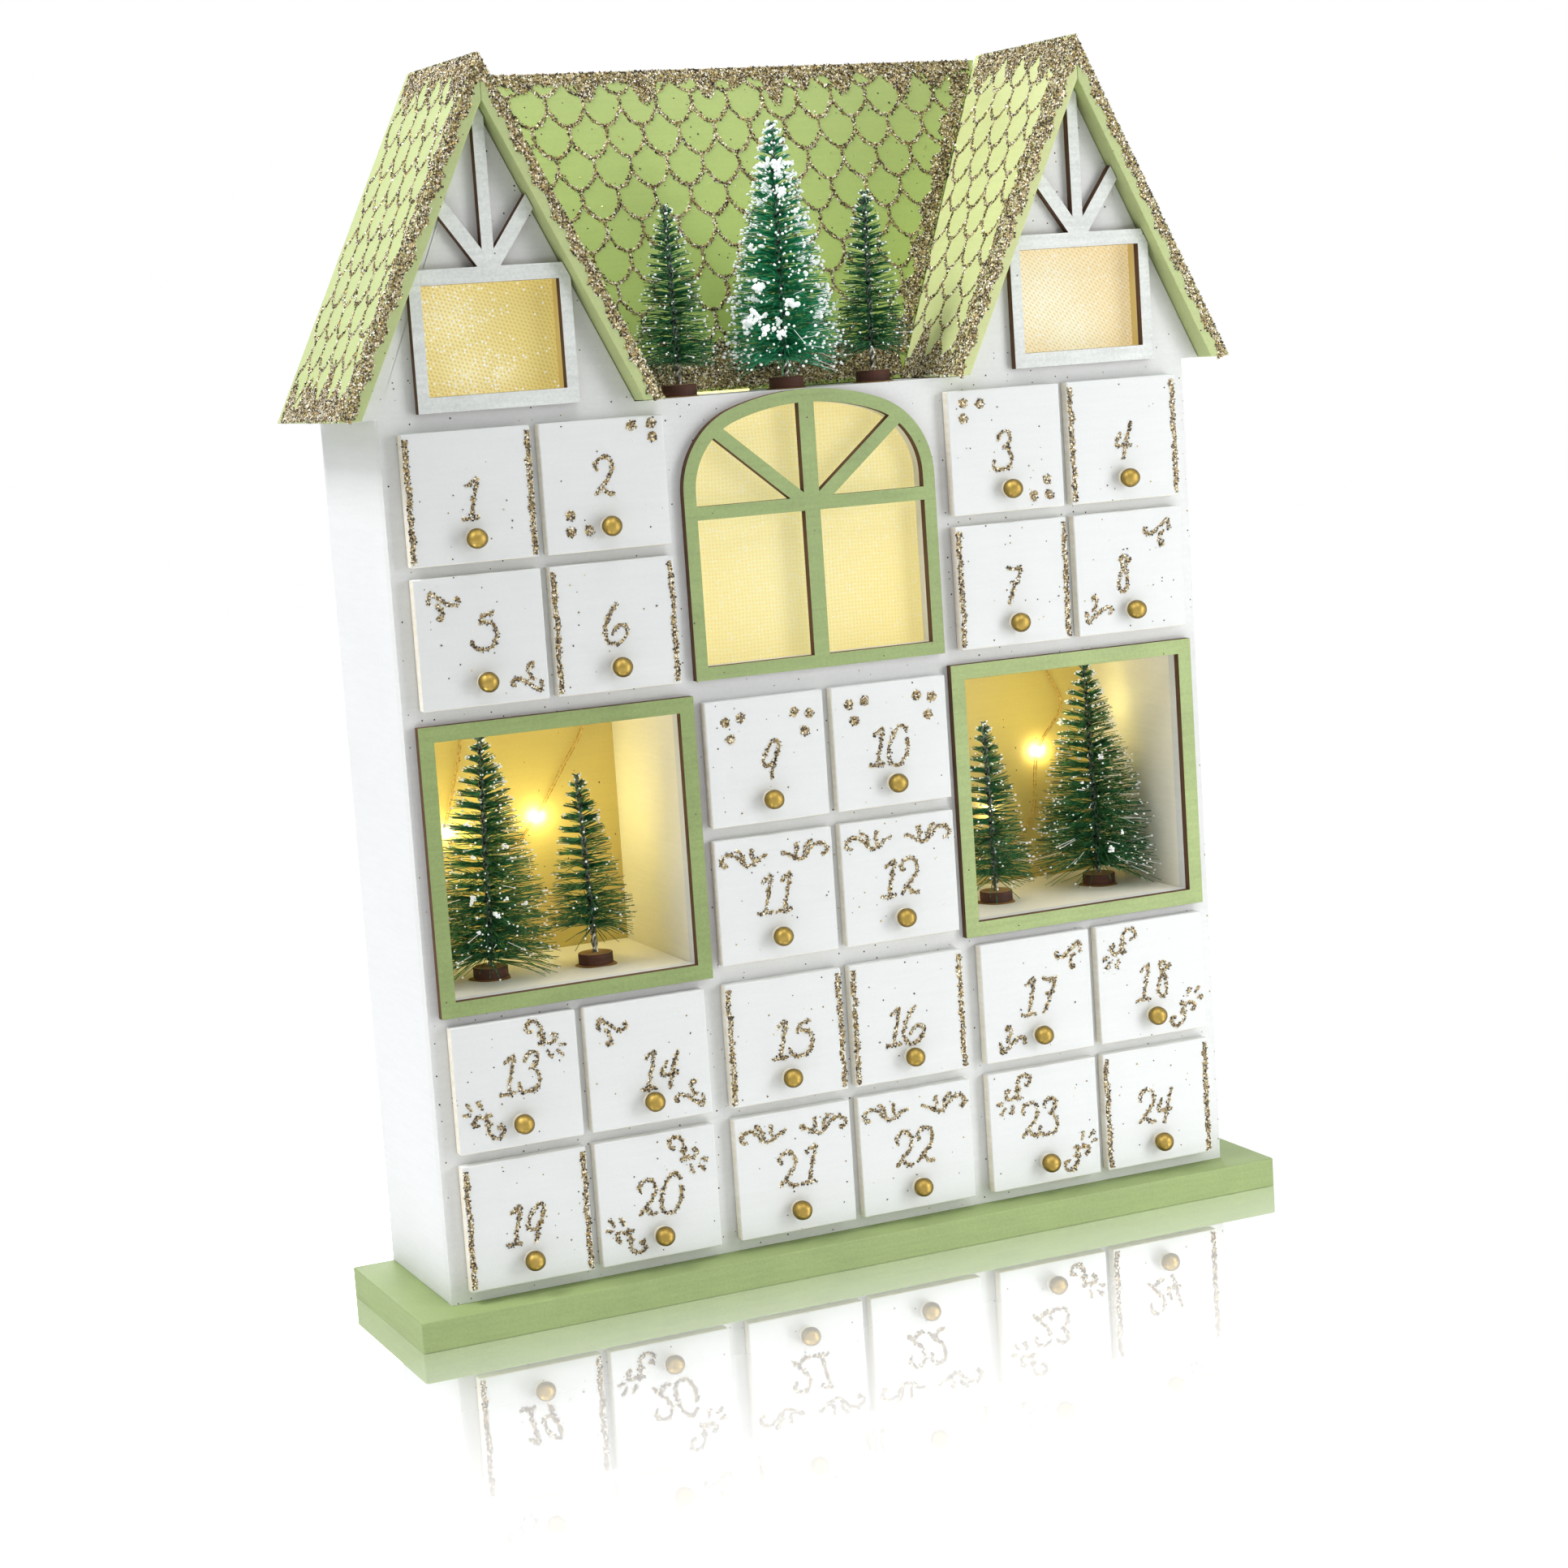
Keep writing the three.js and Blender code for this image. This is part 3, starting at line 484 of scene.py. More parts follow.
def woodMaterial(name, light, dark):
    material, tree = newMaterial(name, Roughness=0.72)
    look = useGroup(tree, bareWood, Light=light, Dark=dark)
    return dress(material, look["Colour"], look["Height"], 0.05)


def glitterMaterial(name, grain, glue):
    material, tree = newMaterial(name)
    look = useGroup(tree, grains, Grain=grain, Glue=glue)
    shine = {"Metallic": look["Metal"], "Roughness": look["Roughness"]}
    return dress(material, look["Colour"], look["Height"], 0.12, **shine)


def flakeMaterial(name, colour, metal, rough):
    material, tree = newMaterial(name, Metallic=metal, Roughness=rough)
    deep = tuple(c * 0.72 for c in colour[:3]) + (1,)
    return dress(material, mixColours(tree, noiseAt(tree, 3, 1), deep, colour))


def brassMaterial():
    material, tree = newMaterial("brushed brass", Metallic=1.0)
    marks = noiseAt(tree, 0.55, 4, 0.6)
    tone = mixColours(tree, noiseAt(tree, 2.6, 3), rgb(136, 112, 50), rgb(176, 152, 84))
    # painted shade: the brass darkens towards the ball's outline, where it turns from the camera
    rim = addNode(tree, "ShaderNodeLayerWeight", {"Blend": 0.32}).outputs["Facing"]
    tone = mixColours(tree, calc(tree, "MULTIPLY", rim, 0.85), tone, rgb(74, 58, 26))
    return dress(material, tone, marks, 0.035, Roughness=between(tree, marks, 0.3, 0.7, 0.36, 0.52))


# painted light: the fabric glows by emission, palest near the lamps behind it, with painted glints
def fabricMaterial(name, look):
    material, tree = newMaterial(name, Roughness=0.75, Emission_Strength=0.56)
    cloth = useGroup(tree, weave, Thread=1.25, Slant=look["slant"])
    glow = 0.0
    for lamp, reach in look["lamps"]:
        shine = useGroup(tree, lampGlow, Lamp=tuple(at(*lamp) * 1000), Reach=reach)["Glow"]
        glow = calc(tree, "MAXIMUM", glow, shine)
    tone = mixColours(tree, glow, look["warm"], look["pale"])
    tone = mixColours(tree, calc(tree, "MULTIPLY", cloth["Gap"], 0.38), tone, look["shade"])
    rare = calc(tree, "MULTIPLY_ADD", glow, -0.5, 1.0)  # painted glints: more threads catch the light close to a lamp
    caught = calc(tree, "GREATER_THAN", cloth["Sparkle"], rare)
    tone = mixColours(tree, calc(tree, "MULTIPLY", caught, look["paintedGlints"]), tone, (1, 1, 0.9, 1))
    unlit = mixColours(tree, 0.56, tone, (0, 0, 0, 1))
    return dress(material, unlit, cloth["Height"], 0.15, Emission_Color=tone)


def variedMaterial(name, size, detail, stops, rough, metal=0.0):  # a colour that changes from place to place
    material, tree = newMaterial(name, Roughness=rough, Metallic=metal)
    return dress(material, ramp(tree, noiseAt(tree, size, detail), stops))


def bristleMaterial(name, deep, plain, pale):
    return variedMaterial(name, 2.2, 2, [(0.3, deep), (0.5, plain), (0.7, pale)], 0.45)


def wireMaterial(name, dark, light, rough, metal):
    return variedMaterial(name, 1.1, 3, [(0.4, dark), (0.62, light)], rough, metal)


def frostMaterial():
    # painted light: a faint white glow keeps the frosting bright where the bristles shade it
    material, tree = newMaterial("frosting", Roughness=0.8, Emission_Strength=0.16)
    lumps = noiseAt(tree, 0.6, 3)
    white = mixColours(tree, lumps, rgb(236, 244, 242), rgb(255, 255, 255))
    return dress(material, white, lumps, 0.1, Emission_Color=white)


def glowMaterial(name, colour, strength):
    material, tree = newMaterial(name, Roughness=0.3, Emission_Strength=strength)
    tint = noiseAt(tree, 1.5, 1)
    shine = mixColours(tree, tint, colour, (1, 0.93, 0.7, 1))
    return dress(material, mixColours(tree, tint, colour, (1, 1, 0.9, 1)), Emission_Color=shine)


def plasticMaterial(name, colour):
    material, tree = newMaterial(name, Specular_IOR_Level=0.4)
    cloud = noiseAt(tree, 9, 2)
    lighter = tuple(c * 1.4 for c in colour[:3]) + (1,)
    rough = between(tree, cloud, 0.3, 0.7, 0.42, 0.55)
    tint = mixColours(tree, cloud, colour, lighter)
    return dress(material, tint, noiseAt(tree, 0.5, 2), 0.04, Roughness=rough)


def cellMaterial():  # a plain metal-jacketed cell with one dark band
    material, tree = newMaterial("cell jacket", Roughness=0.35, Metallic=0.7)
    scuffs = noiseAt(tree, 2, 3, stretch=(0.2, 1, 1))
    steel = mixColours(tree, scuffs, rgb(150, 154, 158), rgb(196, 200, 204))
    dark = calc(tree, "LESS_THAN", calc(tree, "ABSOLUTE", calc(tree, "ADD", placeOf(tree)[0], 11.0)), 17.0)
    return dress(material, mixColours(tree, dark, steel, rgb(52, 62, 60)))


whitePaint = paintedMaterial("white paint", paint["white"])
facadePaint = facadeMaterial()
platePaint = paintedMaterial("drawer front paint", paint["plate"], 0.05, 0.09)
insidePaint = paintedMaterial("diorama paint", paint["inside"], 0.08, 0.03, 0.16)
backPaint = backMaterial()
sagePaint = paintedMaterial("sage paint", paint["sage"], 0.26)
# painted sheen: a paler copy of the roof paint for the boards
roofPaint = paintedMaterial("roof paint", paint["boards"], 0.12, 0.2)
# painted light: a paler copy of the roof paint for the right inner board, for the light from the left that
# the left gable keeps off it
paintedLightRoofPaint = paintedMaterial("roof paint with painted light", paint["innerBoardPaintedLight"], 0.12, 0.2)
centrePaint = paintedMaterial("shaded roof paint", centreRoofColour, 0.12, 0.2)
sageCut = cutOutMaterial("sage cut wood", paint["sage"])
# painted shade on the left diorama frame, painted light on the right one
sageShadeCut = cutOutMaterial("sage cut wood with painted shade", paint["sagePaintedShade"])
sageLitCut = cutOutMaterial("sage cut wood with painted light", paint["sagePaintedLight"])
whiteCut = cutOutMaterial("white cut wood", paint["trim"], paint["trimScorch"])
bareEdge = woodMaterial("bare board edge", rgb(246, 242, 230), rgb(232, 222, 200))
trayWood = woodMaterial("tray wood", rgb(222, 194, 150), rgb(186, 150, 106))
discWood = woodMaterial("sawn disc", rgb(206, 168, 116), rgb(150, 106, 62))
discBark = woodMaterial("scorched disc edge", rgb(92, 50, 32), rgb(40, 20, 12))
glueGlitter = glitterMaterial("glitter on white", 0.74, rgb(150, 134, 100))
roofGlitter = glitterMaterial("glitter on green", 0.74, rgb(148, 138, 86))
flakes = [
    flakeMaterial("dark flakes", rgb(46, 32, 20), 0.3, 0.45),
    flakeMaterial("bronze flakes", rgb(134, 108, 62), 0.5, 0.35),
    flakeMaterial("gold flakes", rgb(208, 184, 124), 0.5, 0.3),
    flakeMaterial("pale flakes", rgb(255, 250, 232), 0.15, 0.3),
]
brass = brassMaterial()
bristleGreen = bristleMaterial("bristle green", rgb(12, 56, 36), rgb(30, 100, 60), rgb(80, 154, 90))
brightBristle = bristleMaterial("bright bristle green", rgb(8, 98, 64), rgb(26, 146, 100), rgb(84, 192, 142))
frosting = frostMaterial()
trunkWire = wireMaterial("lacquered trunk wire", rgb(10, 16, 14), rgb(150, 162, 154), 0.28, 0.2)
bareWire = wireMaterial("bare trunk wire", rgb(96, 94, 84), rgb(206, 204, 192), 0.3, 0.8)
lightWire = wireMaterial("lacquered light wire", rgb(184, 142, 62), rgb(232, 200, 124), 0.3, 0.3)
ledGlow = glowMaterial("lamp resin", (1.0, 0.82, 0.42, 1), 26.0)
slitGlow = glowMaterial("light through the gap", (1.0, 0.78, 0.12, 1), 0.9)
clearGlue = plasticMaterial("dried glue", rgb(214, 208, 190))
amberGlue = plasticMaterial("amber glue", rgb(120, 86, 40))
darkPlastic = plasticMaterial("battery box plastic", rgb(40, 42, 44))
cellJacket = cellMaterial()
print("finishes made:", len(bpy.data.materials))


# Camera, stage and lamps

view = {"lens": 73.44, "place": (-439.07, -963.89, 316.3), "yaw": -23.71, "pitch": -8.16, "roll": -3.89}


def makeCamera():
    yaw, pitch, roll = (math.radians(view[key]) for key in ("yaw", "pitch", "roll"))
    ahead = Vector((math.sin(-yaw) * math.cos(pitch), math.cos(yaw) * math.cos(pitch), math.sin(pitch)))
    right = Vector((math.cos(yaw), -math.sin(-yaw), 0))
    up = right.cross(ahead)
    across = right * math.cos(roll) + up * math.sin(roll)
    over = up * math.cos(roll) - right * math.sin(roll)
    data = bpy.data.cameras.new("camera")
    data.lens = view["lens"]
    data.sensor_width = 36
    data.clip_start = 0.01
    camera = intoScene("camera", data)
    turn = Matrix((across, over, -ahead)).transposed().to_4x4()
    camera.matrix_world = Matrix.Translation(at(*view["place"])) @ turn
    bpy.context.scene.camera = camera


stage = {
    "floorHalf": 3000,
    "floorColour": rgb(226, 227, 228),
    "floorSheen": rgb(232, 232, 233),
    "glow": 0.5,
    "farGlow": 1.1,
    "reflection": 0.9,
    "fadeFrom": -14,  # Y in millimetres, where the mirrored front is strongest
    "fadeTo": -290,
    "whiteFrom": 330,  # from here outwards the floor goes over to plain white
    "whiteTo": 700,
    "world": 0.15,
}


def cameraRays(tree):  # 1 for what is seen directly, in a mirror or through something clear
    ray = addNode(tree, "ShaderNodeLightPath").outputs
    indirect = calc(tree, "MAXIMUM", ray["Is Glossy Ray"], ray["Is Transmission Ray"])
    return calc(tree, "MAXIMUM", ray["Is Camera Ray"], indirect)


def floorMaterial():
    material, tree = newMaterial("floor", Roughness=0.6)
    dress(material, mixColours(tree, noiseAt(tree, 240, 2), stage["floorColour"], stage["floorSheen"]))
    shader = tree.nodes["Principled BSDF"].outputs[0]
    ends = {0: millimetres(tree), 1: (0, front, 0)}
    away = addNode(tree, "ShaderNodeVectorMath", ends, operation="DISTANCE").outputs["Value"]
    far = between(tree, away, stage["whiteFrom"], stage["whiteTo"], stage["glow"], stage["farGlow"])
    strength = calc(tree, "MULTIPLY", cameraRays(tree), far)
    glow = addNode(tree, "ShaderNodeEmission", {"Color": (1, 1, 1, 1), "Strength": strength})
    lit = addNode(tree, "ShaderNodeAddShader", {0: shader, 1: glow.outputs[0]}).outputs[0]
    near, gone = stage["fadeFrom"] + front, stage["fadeTo"] + front
    fade = between(tree, placeOf(tree)[1], gone, near, 0, stage["reflection"])
    mirror = addNode(tree, "ShaderNodeBsdfGlossy", {"Roughness": 0.02, "Color": (1, 1, 1, 1)}).outputs[0]
    mixed = addNode(tree, "ShaderNodeMixShader", {0: fade, 1: lit, 2: mirror})
    plug(tree, tree.nodes["Material Output"].inputs["Surface"], mixed.outputs[0])
    return material


def makeStage():
    half = stage["floorHalf"]
    corners = [(-half, -half, 0), (half, -half, 0), (half, half, 0), (-half, half, 0)]
    mesh = bpy.data.meshes.new("floor")
    mesh.from_pydata([at(*c) for c in corners], [], [(0, 1, 2, 3)])
    mesh.materials.append(floorMaterial())
    intoScene("floor", mesh)
    world = bpy.data.worlds.new("studio")
    bpy.context.scene.world = world
    world.use_nodes = True
    tree = world.node_tree
    sockets = tree.nodes["Background"].inputs
    plug(tree, sockets["Strength"], between(tree, cameraRays(tree), 0, 1, stage["world"], 1.0))
    plug(tree, sockets["Color"], (1, 1, 1, 1))


lamps = {
    "key": {"place": (640, -640, 480), "aim": (40, 0, 190), "size": 360, "power": 2.3},
    "near": {"place": (430, -420, 150), "aim": (110, 0, 170), "size": 260, "power": 0.9},
    "left": {"place": (-1400, -330, 1250), "aim": (-60, 20, 230), "size": 700, "power": 5.8},
    "slope": {"place": (-820, 60, 1300), "aim": (60, 20, 330), "size": 420, "power": 12},
    "top": {"place": (60, -420, 1400), "aim": (0, 20, 200), "size": 800, "power": 6.1},
    "back": {"place": (300, 1300, 700), "aim": (0, 40, 200), "size": 900, "power": 6.4},
}


def makeLamps():
    for name, lamp in lamps.items():
        data = bpy.data.lights.new(name, "AREA")
        data.size = lamp["size"] * 0.001
        data.energy = lamp["power"]
        item = intoScene(name, data)
        item.location = at(*lamp["place"])
        item.rotation_euler = (at(*lamp["aim"]) - item.location).to_track_quat("-Z", "Y").to_euler()


makeCamera()
makeStage()
makeLamps()
bpy.context.scene.view_settings.view_transform = "Standard"
print("camera, stage and lamps set")


# Glue lines with glitter in them

glitter = {
    "height": 0.16,
    "buried": 0.12,
    "flake": 0.43,
    "perArea": 2.6,
    "ragged": 0.26,
    "spill": 0.14,
    "slope": 0.18,  # how much of a line's width its slanting side takes
    "thinSlope": 0.08,
    "thin": 0.5,
    "strokeHalf": 0.36,
    "strokeSpill": 0.15,
    "dotSides": 14,
    "dotTop": 0.82,
    "sunk": 0.7,
    "mix": [0.38, 0.15, 0.17, 0.3],  # shares of the four kinds of flakes
}


def surface(origin, along, across, towards):  # a flat face, its two directions and the way out of it
    along, across = Vector(along).normalized(), Vector(across).normalized()
    out = along.cross(across)
    if out.dot(Vector(towards)) < 0:
        out = -out
    return {"origin": Vector(origin), "along": along, "across": across, "out": out}


def onSurface(face, u, v, lift=0.0):
    return face["origin"] + face["along"] * u + face["across"] * v + face["out"] * lift


class GlitterWork:
    def __init__(self, seed):  # glue strips and flakes of one piece
        self.glue = Shape()
        self.spots = []
        self.draw = random.Random(seed)

    def strip(self, face, lefts, rights, spread=glitter["spill"]):
        lefts, rights = [Vector(p) for p in lefts], [Vector(p) for p in rights]
        loops = []
        for left, right in zip(lefts, rights):
            slope = glitter["slope"] if (right - left).length > glitter["thin"] else glitter["thinSlope"]
            places = [(left, -glitter["buried"]), (left.lerp(right, slope), glitter["height"])]
            places += [(right.lerp(left, slope), glitter["height"]), (right, -glitter["buried"])]
            loops.append([onSurface(face, p.x, p.y, lift) for p, lift in places])
        self.glue.rings(loops)
        for a, b, c, d in zip(lefts, rights, rights[1:], lefts[1:]):
            across = (b - a).length + (c - d).length
            along = (d - a).length + (c - b).length
            spill = 2 * spread / max(across, 0.1)
            wanted = across * along / 4 * glitter["perArea"] * (1 + 2 * spill)
            for _ in range(int(wanted + self.draw.random())):
                s, t = self.draw.uniform(-spill, 1 + spill), self.draw.random()
                spot = a.lerp(b, s).lerp(d.lerp(c, s), t)
                self.flake(face, spot.x, spot.y, glitter["height"])

    def flake(self, face, u, v, lift):
        self.spots.append(onSurface(face, u, v, lift * glitter["sunk"]))

    def stroke(self, face, points, wide, step=0.6, tapered=False):
        line = throughPoints(points, step)
        lefts, rights = [], []
        for k, point in enumerate(line):
            ahead = headingAt(line, k)
            side = Vector((-ahead.y, ahead.x))
            size = glitter["strokeHalf"] * wide * (1 + self.draw.uniform(-1, 1) * glitter["ragged"])
            if tapered:
                size *= 0.35 + 0.65 * (k / (len(line) - 1))
            if k in (0, len(line) - 1):
                size *= 0.6
            lefts.append(point - side * size)
            rights.append(point + side * size)
        self.strip(face, lefts, rights, glitter["strokeSpill"] * wide)

    def dot(self, face, u, v, radius):
        count = glitter["dotSides"]
        edge = [radius * (1 + self.draw.uniform(-0.12, 0.12)) for _ in range(count)]
        loops = []
        for share, lift in ((1.0, -glitter["buried"]), (glitter["dotTop"], glitter["height"])):
            turns = [(math.tau * k / count, edge[k] * share) for k in range(count)]
            loops.append([onSurface(face, u + r * math.cos(a), v + r * math.sin(a), lift) for a, r in turns])
        self.glue.rings(loops)
        for _ in range(int(math.pi * radius**2 * glitter["perArea"])):
            turn, reach = self.draw.uniform(0, math.tau), radius * math.sqrt(self.draw.random()) * 1.05
            self.flake(face, u + reach * math.cos(turn), v + reach * math.sin(turn), glitter["height"])

    def make(self, name, body, glueFinish):
        shape = self.glue
        fixed = len(shape.faces)
        draw = np.random.default_rng(self.draw.randrange(1 << 30))
        centres = np.array([tuple(p) for p in self.spots])
        corners = np.array([(1, 1, 1), (1, -1, -1), (-1, 1, -1), (-1, -1, 1)]) / math.sqrt(3)
        turns = np.linalg.qr(draw.normal(size=(len(centres), 3, 3)))[0]
        sizes = glitter["flake"] * draw.uniform(0.6, 1.25, (len(centres), 1, 1))
        points = centres[:, None, :] + (corners @ turns) * sizes
        kinds = draw.choice(len(flakes), len(centres), p=glitter["mix"]) + 1
        for four, kind in zip(points.tolist(), kinds.tolist()):
            shape.add(four, ((0, 1, 2), (0, 3, 1), (0, 2, 3), (1, 3, 2)), kind)
        low, high = (np.array(corner) * 1000 - (0, front, 0) for corner in cadBox)
        shape.verts = np.clip(np.array(shape.verts), low + 0.02, high - 0.02).tolist()  # never past the box
        print("glitter", name, "strips", fixed, "flakes", len(centres))
        return shape.make(name, [glueFinish, *flakes], body, "glittered_roof")


# Numbers and ornaments, drawn from each drawer's foot and middle

digitStrokes = {
    "0": [[(3.6, 10.6), (3.4, 12.3), (2.2, 13.3), (0.2, 12.3), (-1.8, 9.7), (-3.2, 6.3), (-3.6, 3.1),
          (-2.8, 0.9), (-1, -0.1), (1, 0.5), (2.8, 2.7), (3.8, 5.7), (3.9, 9)]],
    "1": [[(-0.8, 9.9), (0.9, 11.1), (3.1, 12.5)], [(3, 12.2), (2, 8.3), (0.9, 4), (0.1, 0.5)], [(-3.1, 0),
          (0, -0.1), (2.9, 0.1)]],
    "2": [[(-2.4, 7.8), (-3.2, 9.5), (-2.2, 11.3), (-0.2, 12.1), (1.6, 11.5), (2.6, 9.5), (2.4, 7.3),
          (1, 5.1), (-0.8, 3.4), (-2.4, 1.6), (-3.8, 0.3)], [(-1.6, 2.6), (-0.6, 2), (0.3, 0.6), (1.6, 0),
          (3, 0.7)]],
    "3": [[(-0.9, 9.6), (-0.5, 11.4), (1.1, 12.6), (2.7, 12.8), (3.8, 11.4), (3.5, 9.4), (2.2, 8),
          (0.5, 7.4)], [(1.6, 7.6), (3.1, 6.4), (3.9, 4), (3.6, 1.8), (2.1, 0.3), (-0.3, 0), (-2.4, 0.5),
          (-3.2, 2), (-2.8, 3.6)]],
    "4": [[(-0.5, 9.6), (-1.1, 8.1), (-2, 6.6), (-2.8, 5.3)], [(-2.9, 5.1), (-0.3, 5), (1.7, 5.1),
          (3.5, 4.9)], [(3.8, 12.8), (2.6, 9.6), (1.5, 6.1), (0.7, 3.1), (0, 0)]],
    "5": [[(4.9, 12), (3, 11.4), (1, 11), (0.3, 9.8), (-0.5, 8)], [(0.8, 8.7), (3, 8.6), (4.6, 7.2),
          (5, 4.8), (4.3, 2.3), (2.6, 0.6), (0.4, 0.1), (-1.8, 0.6), (-3.2, 2), (-3.6, 3.6)]],
    "6": [[(1.2, 13.1), (-0.4, 11.5), (-2.2, 9.1), (-3.6, 6.3), (-4, 3.5), (-3.2, 1.1), (-1.4, 0),
          (0.8, 0.2), (2.8, 1.8), (3.8, 4.1), (3, 5.8), (1.2, 5.9), (-0.6, 4.7), (-1.6, 2.9)]],
    "7": [[(0, 12.8), (1.6, 12), (4.2, 11.8), (6, 12.4)], [(5.7, 12.2), (4.8, 10.2), (3.2, 7.2), (1.8, 4),
          (0, 0.2)], [(1, 7.4), (3.2, 7.2), (4.8, 7.4)]],
    "8": [[(0.6, 8.8), (-0.9, 6.4), (-1.9, 3.2), (-1.5, 0.7), (0.1, 0), (1.3, 1.5), (1.6, 4.4), (1, 7.4),
          (-0.2, 9.2), (-0.9, 11), (-0.2, 12.4), (1.1, 12.4), (1.6, 11), (1, 9.4), (0.5, 8.6)], [(1.2, 9.8),
          (2.2, 10), (3.4, 11.2)]],
    "9": [[(3.6, 11.4), (2.4, 13.1), (0.5, 11.9), (-1.2, 9.4), (-2.6, 6.6), (-2.2, 4.7), (-0.4, 4.6),
          (1.4, 6.2), (2.8, 8.8), (3.6, 11.4)], [(1.9, 7.2), (0.9, 4.4), (0.2, 2), (-0.2, 0)]],
}
scroll = [
    [(-16.9, 33.2), (-18.4, 32.9), (-19.4, 34.6), (-18, 36.4), (-16, 36.9), (-13.4, 35.5), (-11.6, 33.3),
     (-9.9, 32.3), (-7.2, 33), (-4.8, 34.6), (-2.3, 35.4)],
    [(-14.2, 37.8), (-12.8, 37.6), (-11.4, 35.5), (-11, 33.4)],
    [(-8.8, 37.6), (-7.7, 37.4), (-8.5, 35.6), (-7.4, 33.8)],
]
trefoil = [
    [(-3.8, 4.6), (-2.6, 3.6), (-0.2, 1.8), (2, 0.2), (3.8, -0.4), (5.4, 0), (5.6, 1.6), (4.4, 1.8)],
    [(-3.8, 4.4), (-4, 2.8), (-4.4, 1.2), (-3.4, 0.8)],
    [(-2, 0.6), (-0.5, -1), (0.1, -2.8), (-0.5, -4.6), (-1.6, -4.4), (-1.2, -3.2)],
]
curl = [
    [(-3.6, 2.8), (-5.2, 2.6), (-5.9, 4.2), (-5, 5.8), (-3, 6), (-1.2, 4.8), (-0.6, 2.6), (-1, 0.8),
     (0, -0.8), (1.8, -1.8), (3.4, -1.4), (4.2, 0), (3.2, 1.2), (2.3, 0.8)],
    [(-2.2, 1.4), (0.6, 1.2)],
    [(-2.2, -1.7), (0.2, -1.9)],
]
petals = [[(1, -3.8), (2.4, -7)], [(4.2, -4.2), (6.4, -6.8)], [(4.8, -2.6), (7.6, -3.2)]]

# Each drawer's figures with the places of their feet, and its ornament with the ornament's places and turns
drawerArt = {
    1: ([("1", -0.4, 14)], "edges", []),
    2: ([("2", 0, 17.5)], "dots", [(10.2, 39), (17, 39.3), (17.2, 35), (-12.6, 12), (-12.8, 6.6),
        (-6.7, 6.8)]),
    3: ([("3", -2.2, 14.2)], "dots", [(-15.6, 37.4), (-9.2, 36.8), (-15.8, 32.2), (14.8, 9.6), (9.4, 4.6),
        (15.3, 4.4)]),
    4: ([("4", -0.6, 13.8)], "edges", []),
    5: ([("5", 0, 17.6)], "trefoil", [(-12.4, 33, 0, 1), (14.6, 7, 180, 1)]),
    6: ([("6", 0, 15.1)], "edges", []),
    7: ([("7", -2.6, 13.8)], "edges", []),
    8: ([("8", -2.9, 14)], "trefoil", [(12, 33.4, 0, -1), (-14, 8.8, 180, -1)]),
    9: ([("9", 1, 14)], "dots", [(-14.4, 34.4), (-8.8, 35.6), (-12.9, 28.9), (10.6, 35.4), (16.1, 34.3),
        (14.2, 28.8)]),
    10: ([("1", -5.9, 14.2), ("0", 2, 13.3)], "dots", [(-15, 35.6), (-9.2, 36.4), (-13.3, 30), (10.2, 36.2),
        (15.9, 35), (14, 29.2)]),
    11: ([("1", -4.6, 15.8), ("1", 2.4, 15.8)], "scroll", []),
    12: ([("1", -4.7, 15.1), ("2", 3.8, 15.2)], "scroll", []),
    13: ([("1", -3.6, 17.6), ("3", 3.5, 17.4)], "curl", [(9.9, 34, 0, 1), (-11.8, 9.8, 180, 1)]),
    14: ([("1", -0.7, 11.6), ("4", 6.8, 10.4)], "trefoil", [(-12.6, 33, 0, 1), (14.2, 7.4, 180, 1)]),
    15: ([("1", -2.8, 14.4), ("5", 4.2, 13.9)], "edges", []),
    16: ([("1", -6.3, 12.5), ("6", 1.6, 11.9)], "edges", []),
    17: ([("1", -3.9, 15.1), ("7", 2, 14.3)], "trefoil", [(13.4, 33.6, 0, -1), (-11.4, 7.2, 180, -1)]),
    18: ([("1", -3.7, 13.4), ("8", 4.4, 13.6)], "curl", [(-11.6, 33.2, 0, -1), (13, 8.2, 180, -1)]),
    19: ([("1", -5.4, 13.6), ("9", 2, 12.6)], "edges", []),
    20: ([("2", -3.6, 14.8), ("0", 4.2, 14.2)], "curl", [(10.6, 33.4, 0, 1), (-11.8, 9, 180, 1)]),
    21: ([("2", -2.6, 15.6), ("1", 4.7, 16.2)], "scroll", []),
    22: ([("2", -4.6, 15.2), ("2", 3.4, 15.6)], "scroll", []),
    23: ([("2", -5.4, 17.4), ("3", 0.8, 17.2)], "curl", [(-10.8, 33.6, 0, -1), (12.8, 9, 180, -1)]),
    24: ([("2", -4.2, 14.6), ("4", 2.3, 13.4)], "edges", []),
}

drawer = {
    "plateThick": 4.0,
    "gap": 0.3,
    "lap": 2.0,
    "trayDeep": 50.0,
    "trayWall": 2.5,
    "trayFront": 0.6,
    "sidePlay": 0.6,
    "topPlay": 0.9,
    "knobRadius": 3.4,
    "knobSquash": 0.97,
    "knobHeight": 7.7,
    "knobStand": 3.2,
    "collar": 2.0,
    "knobSides": 28,
    "knobRows": 16,
    "dent": 0.05,
    "smallDent": 0.012,
    "gluePool": ((2.9, 0.05), (2.7, -0.3), (2.0, -0.55), (1.2, -0.5)),  # radius, place off the plate
    "stroke": 1.7,
    "cornerStroke": 1.75,
    "petal": 2.1,
    "edgeLine": 1.95,
    "edgeLineAt": 20.1,
    "edgeLineLimit": 21.1,
    "edgeLineStep": 0.8,
    "dot": 1.8,
    "strayFlakes": 9,
    "strayReach": 20,
    "plateRounding": 0.45,
    "trayRounding": 0.25,
}


